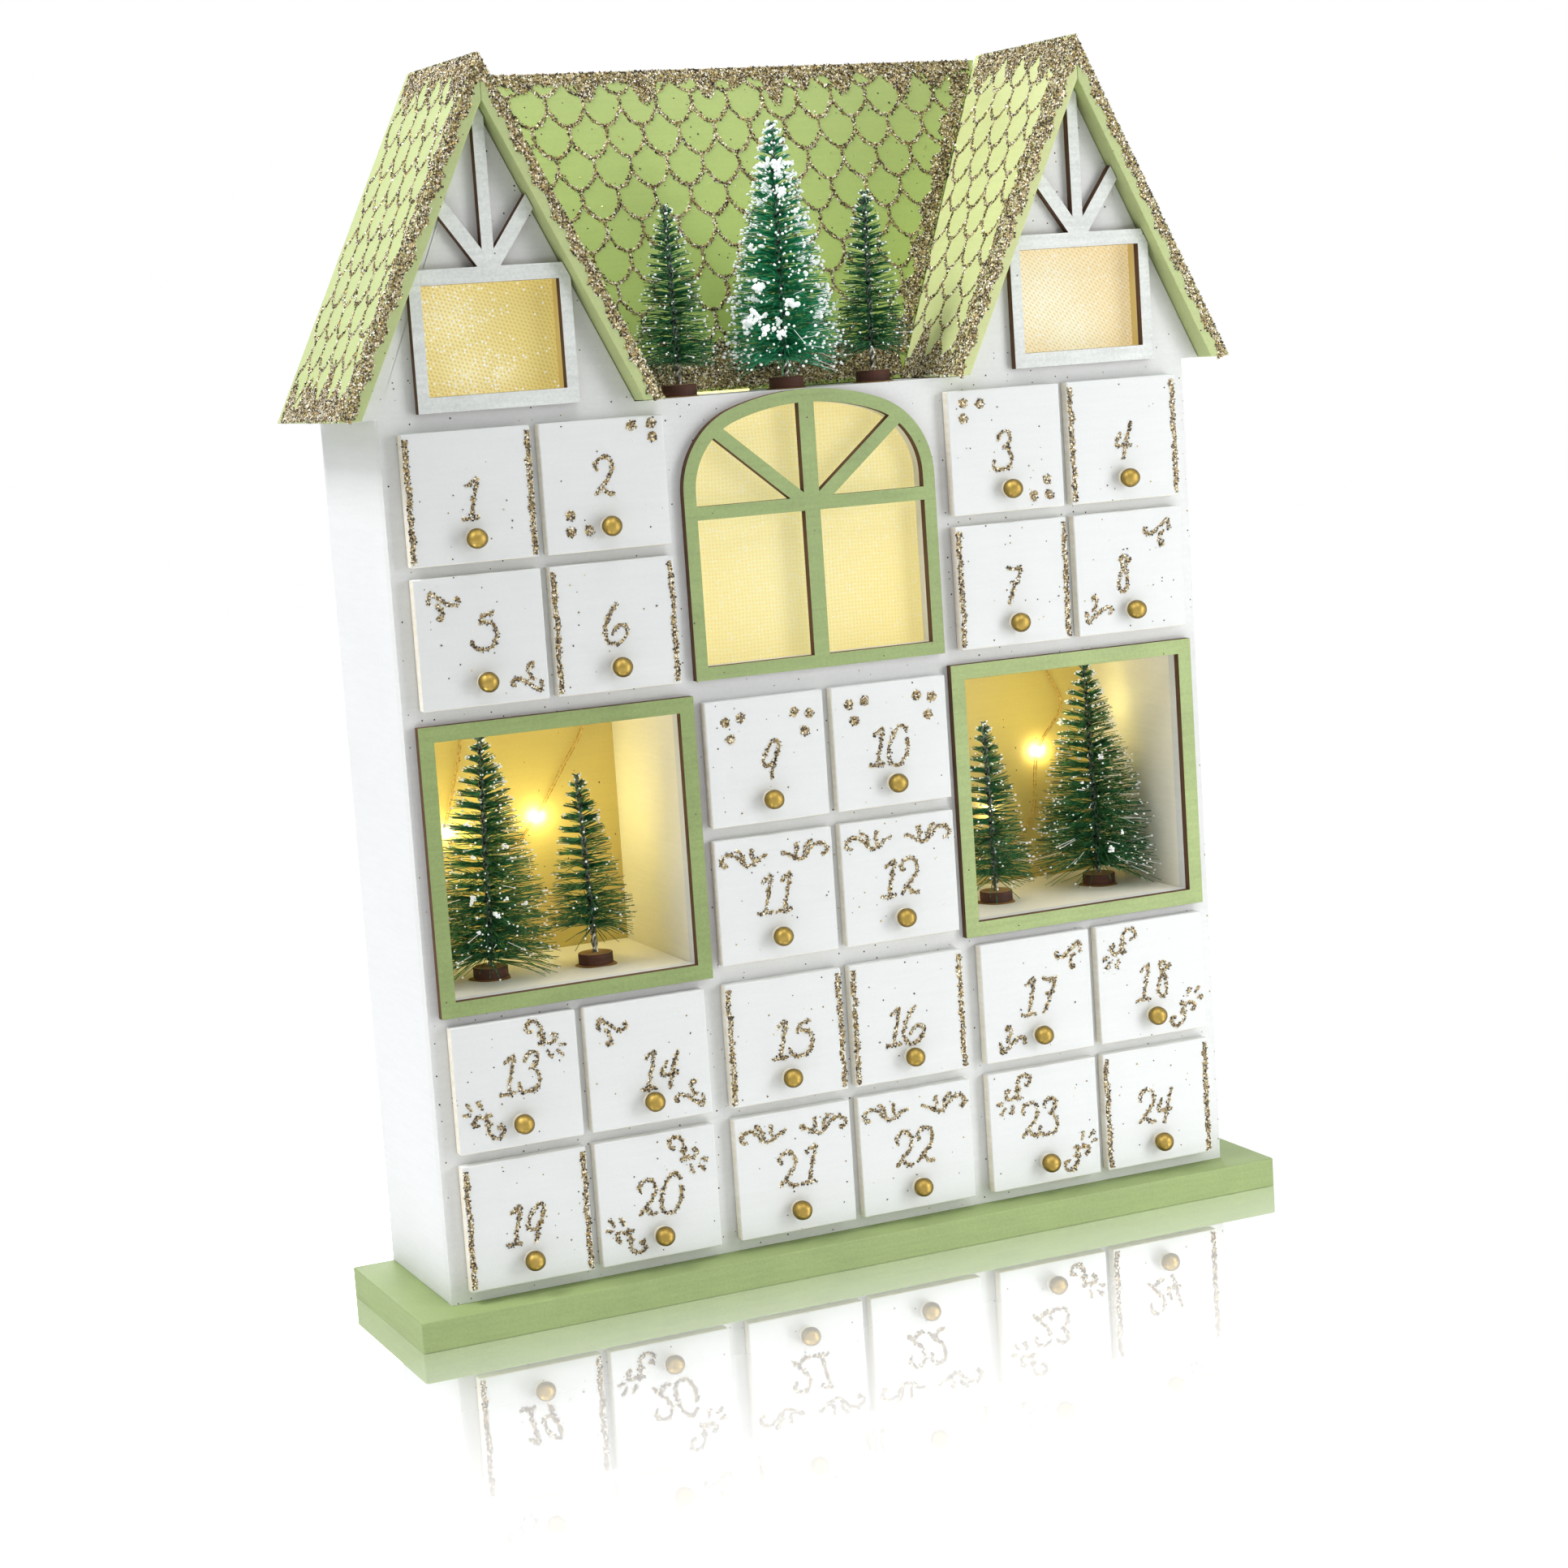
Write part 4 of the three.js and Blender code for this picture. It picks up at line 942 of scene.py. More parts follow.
def placed(points, u, v, degrees=0, flip=1):
    cos, sin = math.cos(math.radians(degrees)), math.sin(math.radians(degrees))
    return [(u + flip * x * cos - z * sin, v + flip * x * sin + z * cos) for x, z in points]


def drawEdgeLine(work, face, u, tall):  # a ragged line of glitter down one side of a plate
    lefts, rights = [], []
    limit, step = drawer["edgeLineLimit"], drawer["edgeLineStep"]
    seed = work.draw.uniform(0, 500)
    for k in range(int(tall / step)):
        v = 0.9 + k * step
        wave = noise.noise((seed, v * 0.22, 0)) * 0.7
        ragged = 1 + 0.45 * noise.noise((seed + 9, v * 0.5, 0))
        half = drawer["edgeLine"] / 2 * ragged + work.draw.uniform(-0.12, 0.12)
        lefts.append((max(u + wave - half, -limit), v))
        rights.append((min(u + wave + half, limit), v))
    work.strip(face, lefts, rights)


def decorate(number, face, tall):
    figures, kind, corners = drawerArt[number]
    work = GlitterWork(100 + number)
    for figure, u, v in figures:
        for points in digitStrokes[figure]:
            work.stroke(face, placed(points, u, v), drawer["stroke"])
    if kind == "edges":
        for side in (-1, 1):
            drawEdgeLine(work, face, side * drawer["edgeLineAt"], tall - 1.2)
    if kind == "scroll":
        for flip in (1, -1):
            for points in scroll:
                work.stroke(face, placed(points, 0, 0, 0, flip), drawer["stroke"])
    if kind == "dots":
        for u, v in corners:
            work.dot(face, u, v, drawer["dot"])
    if kind in ("trefoil", "curl"):
        for corner in corners:
            for points in trefoil if kind == "trefoil" else curl:
                work.stroke(face, placed(points, *corner), drawer["cornerStroke"])
            for points in petals if kind == "curl" else []:
                work.stroke(face, placed(points, *corner), drawer["petal"], tapered=True)
    for _ in range(drawer["strayFlakes"]):
        u = work.draw.uniform(-drawer["strayReach"], drawer["strayReach"])
        work.flake(face, u, work.draw.uniform(1, tall - 1), 0.1)
    return work


def knobShape(shape, x, y, z, draw):  # an uneven cast ball on a short neck
    sides, rows = drawer["knobSides"], drawer["knobRows"]
    lean = draw.uniform(-0.16, 0.16), draw.uniform(-0.12, 0.16)
    seed = draw.uniform(0, 400)
    collar, stand, squash = (drawer[key] for key in ("collar", "knobStand", "knobSquash"))
    loops = [uprightRing(x, y + stand, z, collar, sides)]
    loops.append(uprightRing(x, y + stand * 0.7, z, collar * 0.85, sides))
    for k in range(rows):
        bend = math.radians(152 - 150 * k / (rows - 1))
        loop = []
        for a in evenTurns(sides):
            way = Vector((math.sin(bend) * math.cos(a), -math.cos(bend), math.sin(bend) * math.sin(a)))
            dent = drawer["dent"] * noise.noise(way * 1.2 + Vector((seed, 0, 0)))
            dent += drawer["smallDent"] * noise.noise(way * 3.5 + Vector((0, seed, 0)))
            size = drawer["knobRadius"] * (0.99 + dent * 0.6)
            tall = way.z * size * squash + lean[1] * way.y
            loop.append((x + way.x * size + lean[0] * way.y, y + way.y * size * squash, z + tall))
        loops.append(loop)
    shape.rings(loops, 1)


def makeDrawer(number):
    node = f"drawer_{number:02d}"
    low, high = boxOf(node)
    middle = (low.x + high.x) / 2
    start = -drawer["gap"]
    face = start - drawer["plateThick"]
    plate = Shape()
    plate.block((low.x, face, low.z), (high.x, start, high.z))
    platePiece = plate.make(f"{node}_front", [platePaint, bareEdge], node, "white_paint")
    for side in platePiece.data.polygons:
        side.material_index = 1 if side.normal.x < -0.9 or side.normal.z < -0.9 else 0
    roundEdges(platePiece, drawer["plateRounding"], 3)
    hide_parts(node)

    wall, back = drawer["trayWall"], drawer["trayDeep"]
    inset = drawer["lap"] + drawer["sidePlay"]
    left, right = low.x + inset, high.x - inset
    foot = low.z + drawer["lap"] + drawer["gap"]
    rim = high.z - drawer["lap"] - drawer["topPlay"]
    tray = Shape()
    tray.block((left, start, foot), (left + wall, back, rim))
    tray.block((right - wall, start, foot), (right, back, rim))
    tray.block((left + wall, back - wall, foot), (right - wall, back, rim))
    tray.block((left + wall, start, foot), (right - wall, back - wall, foot + wall))
    tray.block((left + wall, start, foot + wall), (right - wall, start + drawer["trayFront"], rim))
    trayPiece = tray.make(f"{node}_tray", [trayWood], node, "plywood")
    roundEdges(trayPiece, drawer["trayRounding"])
    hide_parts(node)

    knob = Shape()
    z = low.z + drawer["knobHeight"]
    knobShape(knob, middle, face - drawer["knobStand"], z, random.Random(number))
    knob.rings([uprightRing(middle, face + lift, z, radius, 20) for radius, lift in drawer["gluePool"]])
    knobPiece = knob.make(f"{node}_knob", [clearGlue, brass], node, "cell_steel", smooth=True)
    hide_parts(node)

    plane = surface((middle, face, low.z), (1, 0, 0), (0, 0, 1), (0, -1, 0))
    art = decorate(number, plane, high.z - low.z).make(f"{node}_glitter", node, glueGlitter)
    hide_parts(node)


for number in range(1, 25):
    makeDrawer(number)
print("drawers made")


# Box, frames and trims, which keep their solids: finish, rounding and nodes

finishes = [
    (sagePaint, 0.7, ["plinth"]),
    (facadePaint, 0.35, ["facade"]),
    (backPaint, 0.3, ["back_panel"]),
    (whitePaint, 0.3, ["side_panel_left", "side_panel_right"]),
    (trayWood, 0.2, ["partition_left", "partition_right", "upper_rack_left", "upper_rack_right"]),
    (trayWood, 0.2, ["lower_rack_left", "lower_rack_right", "centre_rack"]),
    (insidePaint, 0.2, ["diorama_sleeve_left", "diorama_sleeve_right"]),
    # the left frame carries painted shade and the right frame painted light
    (sageShadeCut, 0.15, ["diorama_frame_left"]),
    (sageLitCut, 0.15, ["diorama_frame_right"]),
    (sageCut, 0.15, ["arch_frame"]),
    (whiteCut, 0.15, ["gable_trim_left", "gable_trim_right"]),
    (roofPaint, 0.35, ["roof_board_left_outer", "roof_board_left_inner", "roof_board_right_outer"]),
    # the right inner board carries painted light
    (paintedLightRoofPaint, 0.35, ["roof_board_right_inner"]),
    (centrePaint, 0.2, ["centre_roof"]),
    (darkPlastic, 0.3, ["battery_box", "switch_slider"]),
    (darkPlastic, 0.4, ["battery_door"]),
    (cellJacket, 0.4, ["cell_lower", "cell_upper"]),
]
for material, rounding, names in finishes:
    for name in names:
        nodes[name].data.materials.clear()
        nodes[name].data.materials.append(material)
        roundEdges(nodes[name], rounding)
print("solids finished")


# The cut-out hub where each gable's braces run into its rail

hub = {"railTop": 44.4, "sunk": 0.02, "rightHalf": [(4.2, -0.3), (3.97, 0.25), (2, 1.7)]}


def makeHub(label):
    low, high = boxOf(f"gable_trim_{label}")
    x, z = (low.x + high.x) / 2, low.z + hub["railTop"]
    outline = hub["rightHalf"] + [(-u, v) for u, v in reversed(hub["rightHalf"])]
    shape = Shape()
    depths = (low.y + hub["sunk"], high.y - hub["sunk"])
    shape.rings([[(x + u, y, z + v) for u, v in outline] for y in depths])
    shape.make(f"gable_hub_{label}", [whiteCut], "house", "white_paint")


for label in ("left", "right"):
    makeHub(label)


# Roof glitter

roof = {
    "scaleWide": 12.75,
    "scaleTall": 11.1,
    "straight": 4.8,
    "line": 1.38,
    "firstFoot": 18.0,
    "outerShift": 0.2,
    "innerShift": 2.6,
    "innerEnd": 30,  # where the centre roof meets an inner board's foot
    "innerSlant": 0.3,
    "footInset": 4,  # no scales below this, or above the next
    "topInset": 3,
    "sideInset": 2,
    "topBand": 4,
    "footBand": 5,
    "backMargin": 3.5,
    "frontBand": 4.2,
    "edgeBand": 3.7,
    "edge": 0.12,
    "bandStep": 0.9,
    "centreWide": 13.15,
    "centreFoot": 17.6,
    "centreSideBand": 6.2,
    "centreTopBand": 4.4,
    "centreFootBand": 13,
    "strayFlakes": 160,
}

# Tongues of the bands along ridges and eaves: middle, tip and width
boardDrips = [
    (-4, 109, 12), (3.5, 105.4, 12), (15.5, 112, 12.5), (28, 108.6, 12.5), (41, 112.5, 12), (49, 106.8, 12),
    (58, 112, 12),
]
boardTeeth = [
    (-2, 10, 10), (7.5, 14.2, 12), (20, 21.4, 11.5), (32.5, 13.5, 11), (40.4, 15.6, 11), (57, 15, 13),
]
centreDrips = [
    (-94, 106, 8), (-80, 103, 9), (-67, 107, 8), (-44, 103.4, 9), (-23, 101.8, 10), (-10, 108.5, 7),
    (0, 103, 8), (11, 107, 8), (25, 99.5, 9), (36, 105, 8), (51, 103, 10), (63, 108, 7), (74, 100.5, 10),
    (88, 104, 10),
]
centreTeeth = [
    (-40, 14, 9), (-30, 13, 8), (-13, 19, 9), (2, 14, 9), (16, 13, 8), (30, 15, 9), (43, 18, 8),
]


def humped(u, base, humps, sign):  # a band's edge: a wavy base line with rounded tongues
    value = base + 0.5 * math.sin(u * 0.9) + 0.35 * math.sin(u * 2.3 + 1)
    for centre, tip, wide in humps:
        share = abs(u - centre) / (wide / 2)
        if share < 1:
            reach = base + (tip - base) * (1 - share**1.7)
            value = max(value, reach) if sign > 0 else min(value, reach)
    return value


def band(work, face, start, end, near, far):  # near and far are functions of the place along the band
    count = int((end - start) / roof["bandStep"])
    places = [start + (end - start) * k / count for k in range(count + 1)]
    work.strip(face, [(u, near(u)) for u in places], [(u, far(u)) for u in places])


def scalePath(centre, foot, wide):  # down one straight side, round the bowl and up to the other side's foot
    half = wide / 2
    top = foot + roof["scaleTall"]
    bowl = roof["scaleTall"] - roof["straight"]
    path = [(centre - half, top), (centre - half, top - roof["straight"] * 0.6)]
    for k in range(9):
        turn = math.pi * k / 8
        path.append((centre - half * math.cos(turn), foot + bowl - bowl * (1 - abs(math.cos(turn)) ** 2.2)))
    return path


def drawScales(work, face, inside, columns, wide, firstFoot, shift=0.0):
    moved = dict(face, origin=face["origin"] + face["along"] * shift)
    for row in range(10):
        across = wide / 2 if row % 2 else 0
        foot = firstFoot + row * roof["scaleTall"]
        for column in columns:
            line = throughPoints(scalePath(column * wide + across, foot, wide), 0.7)
            run = []
            for point in [*line, None]:
                if point is not None and inside(point.x + shift, point.y):
                    run.append((point.x, point.y))
                    continue
                if len(run) > 3:
                    thick = roof["line"] + work.draw.uniform(-0.15, 0.25)
                    work.stroke(moved, run[::2] if len(run) > 8 else run, thick, 0.7)
                run = []


def boardLabel(side, inner):
    return f"{'right' if side > 0 else 'left'}_{'inner' if inner else 'outer'}"


def boardFace(side, inner):
    low, high = boxOf(f"roof_board_{boardLabel(side, inner)}")
    lean = -side if inner else side
    eave, ridge = (high.x, low.x) if lean > 0 else (low.x, high.x)
    upwards = Vector((ridge - eave, 0, high.z - low.z))
    plane = surface((eave, 0, low.z), (0, 1, 0), upwards, (lean, 0, 0.4))
    return plane, upwards.length, low.y, high.y


def makeBoardGlitter(side, inner):
    plane, long, start, end = boardFace(side, inner)
    work = GlitterWork(40 + side * 3 + inner)
    edge = roof["edge"]
    last = end - roof["backMargin"]
    shift = roof["innerShift"] if inner else roof["outerShift"]

    def inside(u, v):
        if inner and u > roof["innerEnd"] + v * roof["innerSlant"]:  # beyond is the centre roof
            return False
        return start + 1 < u < last and roof["footInset"] < v < long - roof["topInset"]

    firstFoot = roof["firstFoot"] - roof["scaleTall"]
    drawScales(work, plane, inside, range(-2, 7), roof["scaleWide"], firstFoot, shift + 1.6)
    drips, teeth = ([(u + shift, v, w) for u, v, w in humps] for humps in (boardDrips, boardTeeth))
    top, foot = long - roof["topBand"], roof["footBand"]
    band(work, plane, start + edge, last, lambda u: humped(u, top, drips, -1), lambda u: long - edge)
    footEnd = roof["innerEnd"] if inner else last
    band(work, plane, start + edge, footEnd, lambda u: edge, lambda u: humped(u, foot, teeth, 1))
    width = roof["frontBand"] + (1.2 if inner else 0)

    def frontReach(v):
        return start + width + 0.8 * math.sin(v * 0.52) + 0.4 * math.sin(v * 1.7)

    turned = dict(plane, along=plane["across"], across=plane["along"])
    band(work, turned, foot, top, lambda v: start + edge, frontReach)
    work.make(f"roof_glitter_{boardLabel(side, inner)}", "house", roofGlitter)


def makeBoardEdgeGlitter(side, inner):  # the outer half of the board's front edge
    plane, long, start, _ = boardFace(side, inner)
    work = GlitterWork(60 + side * 3 + inner)
    edgePlane = surface(plane["origin"] + plane["along"] * start, plane["across"], -plane["out"], (0, -1, 0))

    def reach(v):
        wide = roof["edgeBand"] + 0.75 * math.sin(v * 0.5 + side) + 0.35 * math.sin(v * 1.6)
        return min(wide, 0.49 * (long - v) + 0.1)

    band(work, edgePlane, 1.0, long - 0.3, lambda v: 0.05, reach)
    work.make(f"board_edge_glitter_{boardLabel(side, inner)}", "house", roofGlitter)


def makeCentreRoofGlitter():
    low, high = boxOf("centre_roof")
    boardLow, boardHigh = boxOf("roof_board_right_inner")
    upwards = Vector((0, high.y - low.y, high.z - low.z))
    plane = surface((0, low.y, low.z), (1, 0, 0), upwards, (0, -1, 0.3))
    long = upwards.length
    spread = (boardHigh.x - boardLow.x) / (boardHigh.z - low.z) * (high.z - low.z) / long
    work = GlitterWork(77)

    def half(v):
        return min(high.x, boardLow.x + spread * v) - 0.6

    def inside(u, v):
        return abs(u) < half(v) - roof["sideInset"] and roof["topInset"] < v < long - roof["topInset"]

    drawScales(work, plane, inside, range(-8, 9), roof["centreWide"], roof["centreFoot"] - roof["scaleTall"])
    topHalf, footHalf = half(long - 5), half(3)
    top, foot = long - roof["centreTopBand"], roof["centreFootBand"]
    band(work, plane, -topHalf, topHalf, lambda u: humped(u, top, centreDrips, -1), lambda u: long - 0.05)
    band(work, plane, -footHalf, footHalf, lambda u: 0.5, lambda u: humped(u, foot, centreTeeth, 1))
    for side in (-1, 1):
        lefts, rights = [], []
        for k in range(110):
            v = 9 + k * (long - 14) / 109
            inner = half(v) - roof["centreSideBand"] - 1.6 * math.sin(v * 0.42 + side)
            inner -= 0.7 * math.sin(v * 1.3)
            lefts.append((side * inner, v))
            rights.append((side * half(v), v))
        work.strip(plane, lefts, rights)
    for _ in range(roof["strayFlakes"]):
        v = work.draw.uniform(12, long - 6)
        work.flake(plane, work.draw.uniform(-1, 1) * (half(v) - 6), v, 0.1)
    work.make("centre_roof_glitter", "house", roofGlitter)


for side in (-1, 1):
    for inner in (False, True):
        makeBoardGlitter(side, inner)
        makeBoardEdgeGlitter(side, inner)
makeCentreRoofGlitter()
print("roof glitter laid")


# Lit fabric behind the windows, with painted light: its lamps have a place and a reach, and the painted glow
# is palest near them

screens = {
    "arch_screen": {
        "warm": rgb(254, 232, 142),
        "pale": rgb(255, 249, 192),
        "shade": rgb(250, 219, 126),
        "lamps": [((-20, 28, 262), 34.0), ((18, 28, 262), 30.0), ((-8, 30, 238), 36.0)],
        "slant": 0.0,
        "paintedGlints": 0.4,
    },
    "gable_screen_left": {
        "warm": rgb(228, 208, 120),
        "pale": rgb(255, 242, 178),
        "shade": rgb(184, 142, 58),
        "lamps": [((-113, 6, 308), 11.0), ((-118, 6, 325), 12.0), ((-102, 6, 306), 6.0)],
        "slant": 0.28,
        "paintedGlints": 1.0,
    },
    "gable_screen_right": {
        "warm": rgb(248, 222, 164),
        "pale": rgb(255, 250, 214),
        "shade": rgb(206, 160, 98),
        "lamps": [((94, 6, 318), 18.0), ((104, 6, 308), 14.0)],
        "slant": 0.5,
        "paintedGlints": 0.7,
    },
}
gauze = {"cells": 48, "behind": 0.2, "thick": 0.22, "billow": 0.16}


def makeScreen(node, look):
    low, high = boxOf(node)
    wide, tall = high.x - low.x, high.z - low.z
    material = fabricMaterial(node.replace("screen", "fabric"), look)
    count = gauze["cells"]
    row = count + 1
    size = row * row
    verts = []
    for lift in (0, gauze["thick"]):
        for j in range(row):
            for i in range(row):
                x, z = low.x + wide * i / count, low.z + tall * j / count
                rise = min(i, count - i, j, count - j) / count  # the gauze lies flat where it is glued
                billow = gauze["billow"] * noise.noise((x * 0.06, z * 0.06, 3)) * min(1, rise * 6)
                verts.append((x, low.y + gauze["behind"] + billow + lift, z))
    faces = []
    for j in range(count):
        for a in range(j * row, j * row + count):
            faces.append((a, a + 1, a + row + 1, a + row))
            faces.append((size + a, size + a + row, size + a + row + 1, size + a + 1))
    rim = [*range(row), *range(2 * row - 1, size, row)]
    rim += [*range(size - 2, size - row - 1, -1), *range(size - 2 * row, 0, -row)]
    for a, b in zip(rim, rim[1:] + rim[:1]):
        faces.append((b, a, size + a, size + b))
    shape = Shape()
    shape.add(verts, faces)
    piece = shape.make(node.replace("screen", "gauze"), [material], "house", "lit_fabric", smooth=True)
    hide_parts(node)


for node, look in screens.items():
    makeScreen(node, look)
print("fabric stretched")


# Bottle-brush trees

bush = {
    "disc": 5.8,
    "discThick": 4.0,
    "discProfile": ((0.97, 0), (1, 0.2), (1, 3.75), (0.965, 4.0)),  # share of the radius, and height
    "gluePool": ((1.2, 0), (1.17, 0.16), (1.04, 0.4), (0.9, 0.4)),
    "strand": 0.6,
    "strandSpread": 0.62,
    "strandStep": 0.4,
    "strandTaper": 0.35,
    "bristle": 0.165,
    "tip": 0.7,
    "taper": 0.84,
    "topReach": 1.5,
    "perMillimetre": 21,
    "manyClumps": 20,  # a tree with more lumps of frosting than this is a snowy one
}
leftRoom, rightRoom, ledgeRoom = "left_diorama_trees", "right_diorama_trees", "roof_trees"
windowFoot, ledgeTop = 109.6, 295.1
trees = {
    "tree_left_tall": {
        "node": leftRoom, "x": -114, "y": 27, "foot": windowFoot, "height": 80, "reach": 23.5, "lean": 2.6,
        "clear": 2.2, "layer": 3.8, "tips": 0.3, "clumps": 10,
    },
    "tree_left_short": {
        "node": leftRoom, "x": -78, "y": 24, "foot": windowFoot, "height": 64, "reach": 14.6, "lean": -1.9,
        "clear": 8.5, "layer": 3.8, "tips": 0.14, "clumps": 0,
    },
    "tree_right_short": {
        "node": rightRoom, "x": 75, "y": 27, "foot": windowFoot, "height": 64, "reach": 14.6, "lean": -1.1,
        "clear": 4.5, "layer": 3.6, "tips": 0.2, "clumps": 3,
    },
    "tree_right_tall": {
        "node": rightRoom, "x": 119, "y": 31, "foot": windowFoot, "height": 80, "reach": 23.5, "lean": -1.4,
        "clear": 3.2, "layer": 3.6, "tips": 0.35, "clumps": 8,
    },
    "tree_roof_left": {
        "node": ledgeRoom, "x": -37.5, "y": 14, "foot": ledgeTop, "height": 62, "reach": 13.4, "lean": -0.4,
        "clear": 7.0, "layer": 2.95, "tips": 0.22, "clumps": 0,
    },
    "tree_roof_middle": {
        "node": ledgeRoom, "x": 1.2, "y": 14, "foot": ledgeTop, "height": 87, "reach": 19.5, "lean": 0.8,
        "clear": 6.0, "layer": 2.95, "tips": 0.45, "clumps": 42,
    },
    "tree_roof_right": {
        "node": ledgeRoom, "x": 33.2, "y": 14, "foot": ledgeTop, "height": 63.2, "reach": 12.8, "lean": 1,
        "clear": 7.5, "layer": 2.95, "tips": 0.22, "clumps": 0,
    },
}
roofSlope = {"atLedge": 28, "lean": 0.316}  # Y of the centre roof at the ledge, and how far it leans back
rooms = {  # how far bristles may reach: lowest and highest corner
    leftRoom: ((-135.4, 4.9, 110), (-53.2, 56, 192.8)),
    rightRoom: ((53.2, 4.9, 110), (135.4, 56, 192.8)),
    ledgeRoom: ((-50.6, -11, 295.6), (50.6, 62, 400)),
}


def levelRing(x, y, z, radius, waves=False):  # waves make it the uneven edge of a pool of glue
    points = []
    for turn in evenTurns(32):
        wave = 0.06 * math.sin(3 * turn + x) + 0.04 * math.sin(5 * turn) if waves else 0
        size = radius * (1 + wave)
        points.append((x + size * math.cos(turn), y + size * math.sin(turn), z))
    return points


def makeDisc(shape, tree, sideKind, topKind, glueKind):
    x, y, foot = tree["x"], tree["y"], tree["foot"]
    radius = bush["disc"]
    rings = [levelRing(x, y, foot + height, radius * share) for share, height in bush["discProfile"]]
    shape.rings(rings, sideKind)
    shape.kinds[-1] = topKind
    rings = [levelRing(x, y, foot + height, radius * share, True) for share, height in bush["gluePool"]]
    shape.rings(rings, glueKind)


def addBristle(shape, root, way, long, tipKind, droop, bend):
    middle = root + way * long * 0.55 + bend - Vector((0, 0, droop * 0.3))
    end = root + way * long - Vector((0, 0, droop))
    side = way.cross(Vector((0, 0, 1)))
    side = side.normalized() if side.length > 1e-6 else Vector((1, 0, 0))
    wheel = around(side, side.cross(way).normalized(), (0.5, 2.6, 4.7))
    thick = bush["bristle"]
    places = ((root, thick), (middle, thick * 0.95), (end, thick * bush["tip"]))
    shape.rings([[p + w * r for w in wheel] for p, r in places])
    shape.kinds[-5:] = [tipKind] * 3 + [0, tipKind]
    return end


def addDab(shape, spot, way, size, stretch):  # a lump of white frosting along a bristle
    side = way.orthogonal().normalized()
    wheel = around(side, way.cross(side), evenTurns(6))
    long = size * stretch
    profile = ((-0.5, 0.25), (-0.3, 0.8), (0.05, 1), (0.35, 0.75), (0.5, 0.2))
    shape.rings([[spot + way * long * t + w * size * r for w in wheel] for t, r in profile], 1)


def coneReach(tree, share):  # how far the bristles go at a share of the way up
    spread = tree["reach"] * (1 - share) ** bush["taper"] + bush["topReach"]
    return spread * (0.86 + 2.8 * share) if share < 0.05 else spread


def bristleWay(bearing, rise):
    return Vector((math.cos(bearing) * math.cos(rise), math.sin(bearing) * math.cos(rise), math.sin(rise)))


def reachInside(tree, root, way, wanted):
    low, high = (Vector(c) for c in rooms[tree["node"]])
    if tree["node"] == ledgeRoom:  # the roof slopes back behind the ledge
        high.y = roofSlope["atLedge"] + roofSlope["lean"] * (root.z - ledgeTop)
    for k in range(3):
        limit = high[k] if way[k] > 0 else low[k]
        if abs(way[k]) > 1e-6:
            wanted = min(wanted, (limit - root[k]) / way[k])
    return max(wanted, 0.8)


def makeTrunk(shape, start, axis, long, tree):  # two twisted strands, bare below and lacquered above
    steps = int(long / bush["strandStep"])
    for strand in (0, math.pi):
        line = []
        for k in range(steps + 1):
            along = long * k / steps
            turn = strand + math.pi * along / tree["layer"]
            offset = Vector((math.cos(turn), math.sin(turn), 0)) * bush["strandSpread"]
            line.append(start + axis * along + offset - Vector((0, 0, 0.5 if k == 0 else 0)))
        bare = max(2, int(steps * tree["clear"] / long))
        shape.rings(tubeLoops(line[: bare + 1], bush["strand"], 7), 4)
        shape.rings(tubeLoops(line[bare:], lambda s: bush["strand"] * (1 - bush["strandTaper"] * s), 7), 5)


def makeTree(name, tree):
    draw = random.Random(name)
    start = Vector((tree["x"], tree["y"], tree["foot"] + bush["discThick"]))
    top = Vector((tree["x"] + tree["lean"], tree["y"], tree["foot"] + tree["height"]))
    axis = (top - start).normalized()
    long = (top - start).length
    clear = tree["clear"]
    body = Shape()
    makeDisc(body, tree, 2, 3, 6)
    makeTrunk(body, start, axis, long, tree)
    snowy = tree["clumps"] > bush["manyClumps"]
    density = bush["perMillimetre"] * (0.6 + 0.4 * tree["reach"] / 20) * (1.5 if snowy else 1)
    count = int((long - clear) * density)
    for _ in range(count):
        share = draw.random() ** 1.12
        place = clear + (long - clear) * share
        root = start + axis * place
        loose = 0.12 + 0.32 * (1 - share) ** 2.4
        bearing = math.pi * place / tree["layer"] + draw.choice((0, math.pi)) + draw.gauss(0, loose)
        rise = math.radians(3 + 20 * share**2 + draw.gauss(0, 3.5 + 5 * (1 - share) ** 2))
        way = bristleWay(bearing, rise)
        reach = reachInside(tree, root, way, coneReach(tree, share) * draw.uniform(0.84, 1.06))
        droop = reach * max(0, draw.gauss(0.1, 0.12)) * (1 - share) ** 2
        droop = min(droop, root.z + way.z * reach - tree["foot"] - 0.5)
        white = draw.random() < tree["tips"]
        tipKind = 1 if white and draw.random() < 0.22 * tree["tips"] else 0
        bend = Vector([draw.gauss(0, 0.012) * reach for _ in range(3)])
        end = addBristle(body, root, way, reach, tipKind, max(droop, 0), bend)
        if white:
            size = draw.uniform(0.22, 0.4) * (1.3 if snowy else 1)
            addDab(body, end, way, size, draw.uniform(1.6, 3.2))
    for _ in range(tree["clumps"]):
        addClump(body, tree, start, axis, long, draw)
    green = brightBristle if snowy else bristleGreen
    materials = [green, frosting, discBark, discWood, bareWire, trunkWire, amberGlue]
    piece = body.make(name, materials, "house", "bristle")
    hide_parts(tree["node"])
    print("tree", name, "bristles", count, "faces", len(piece.data.polygons))


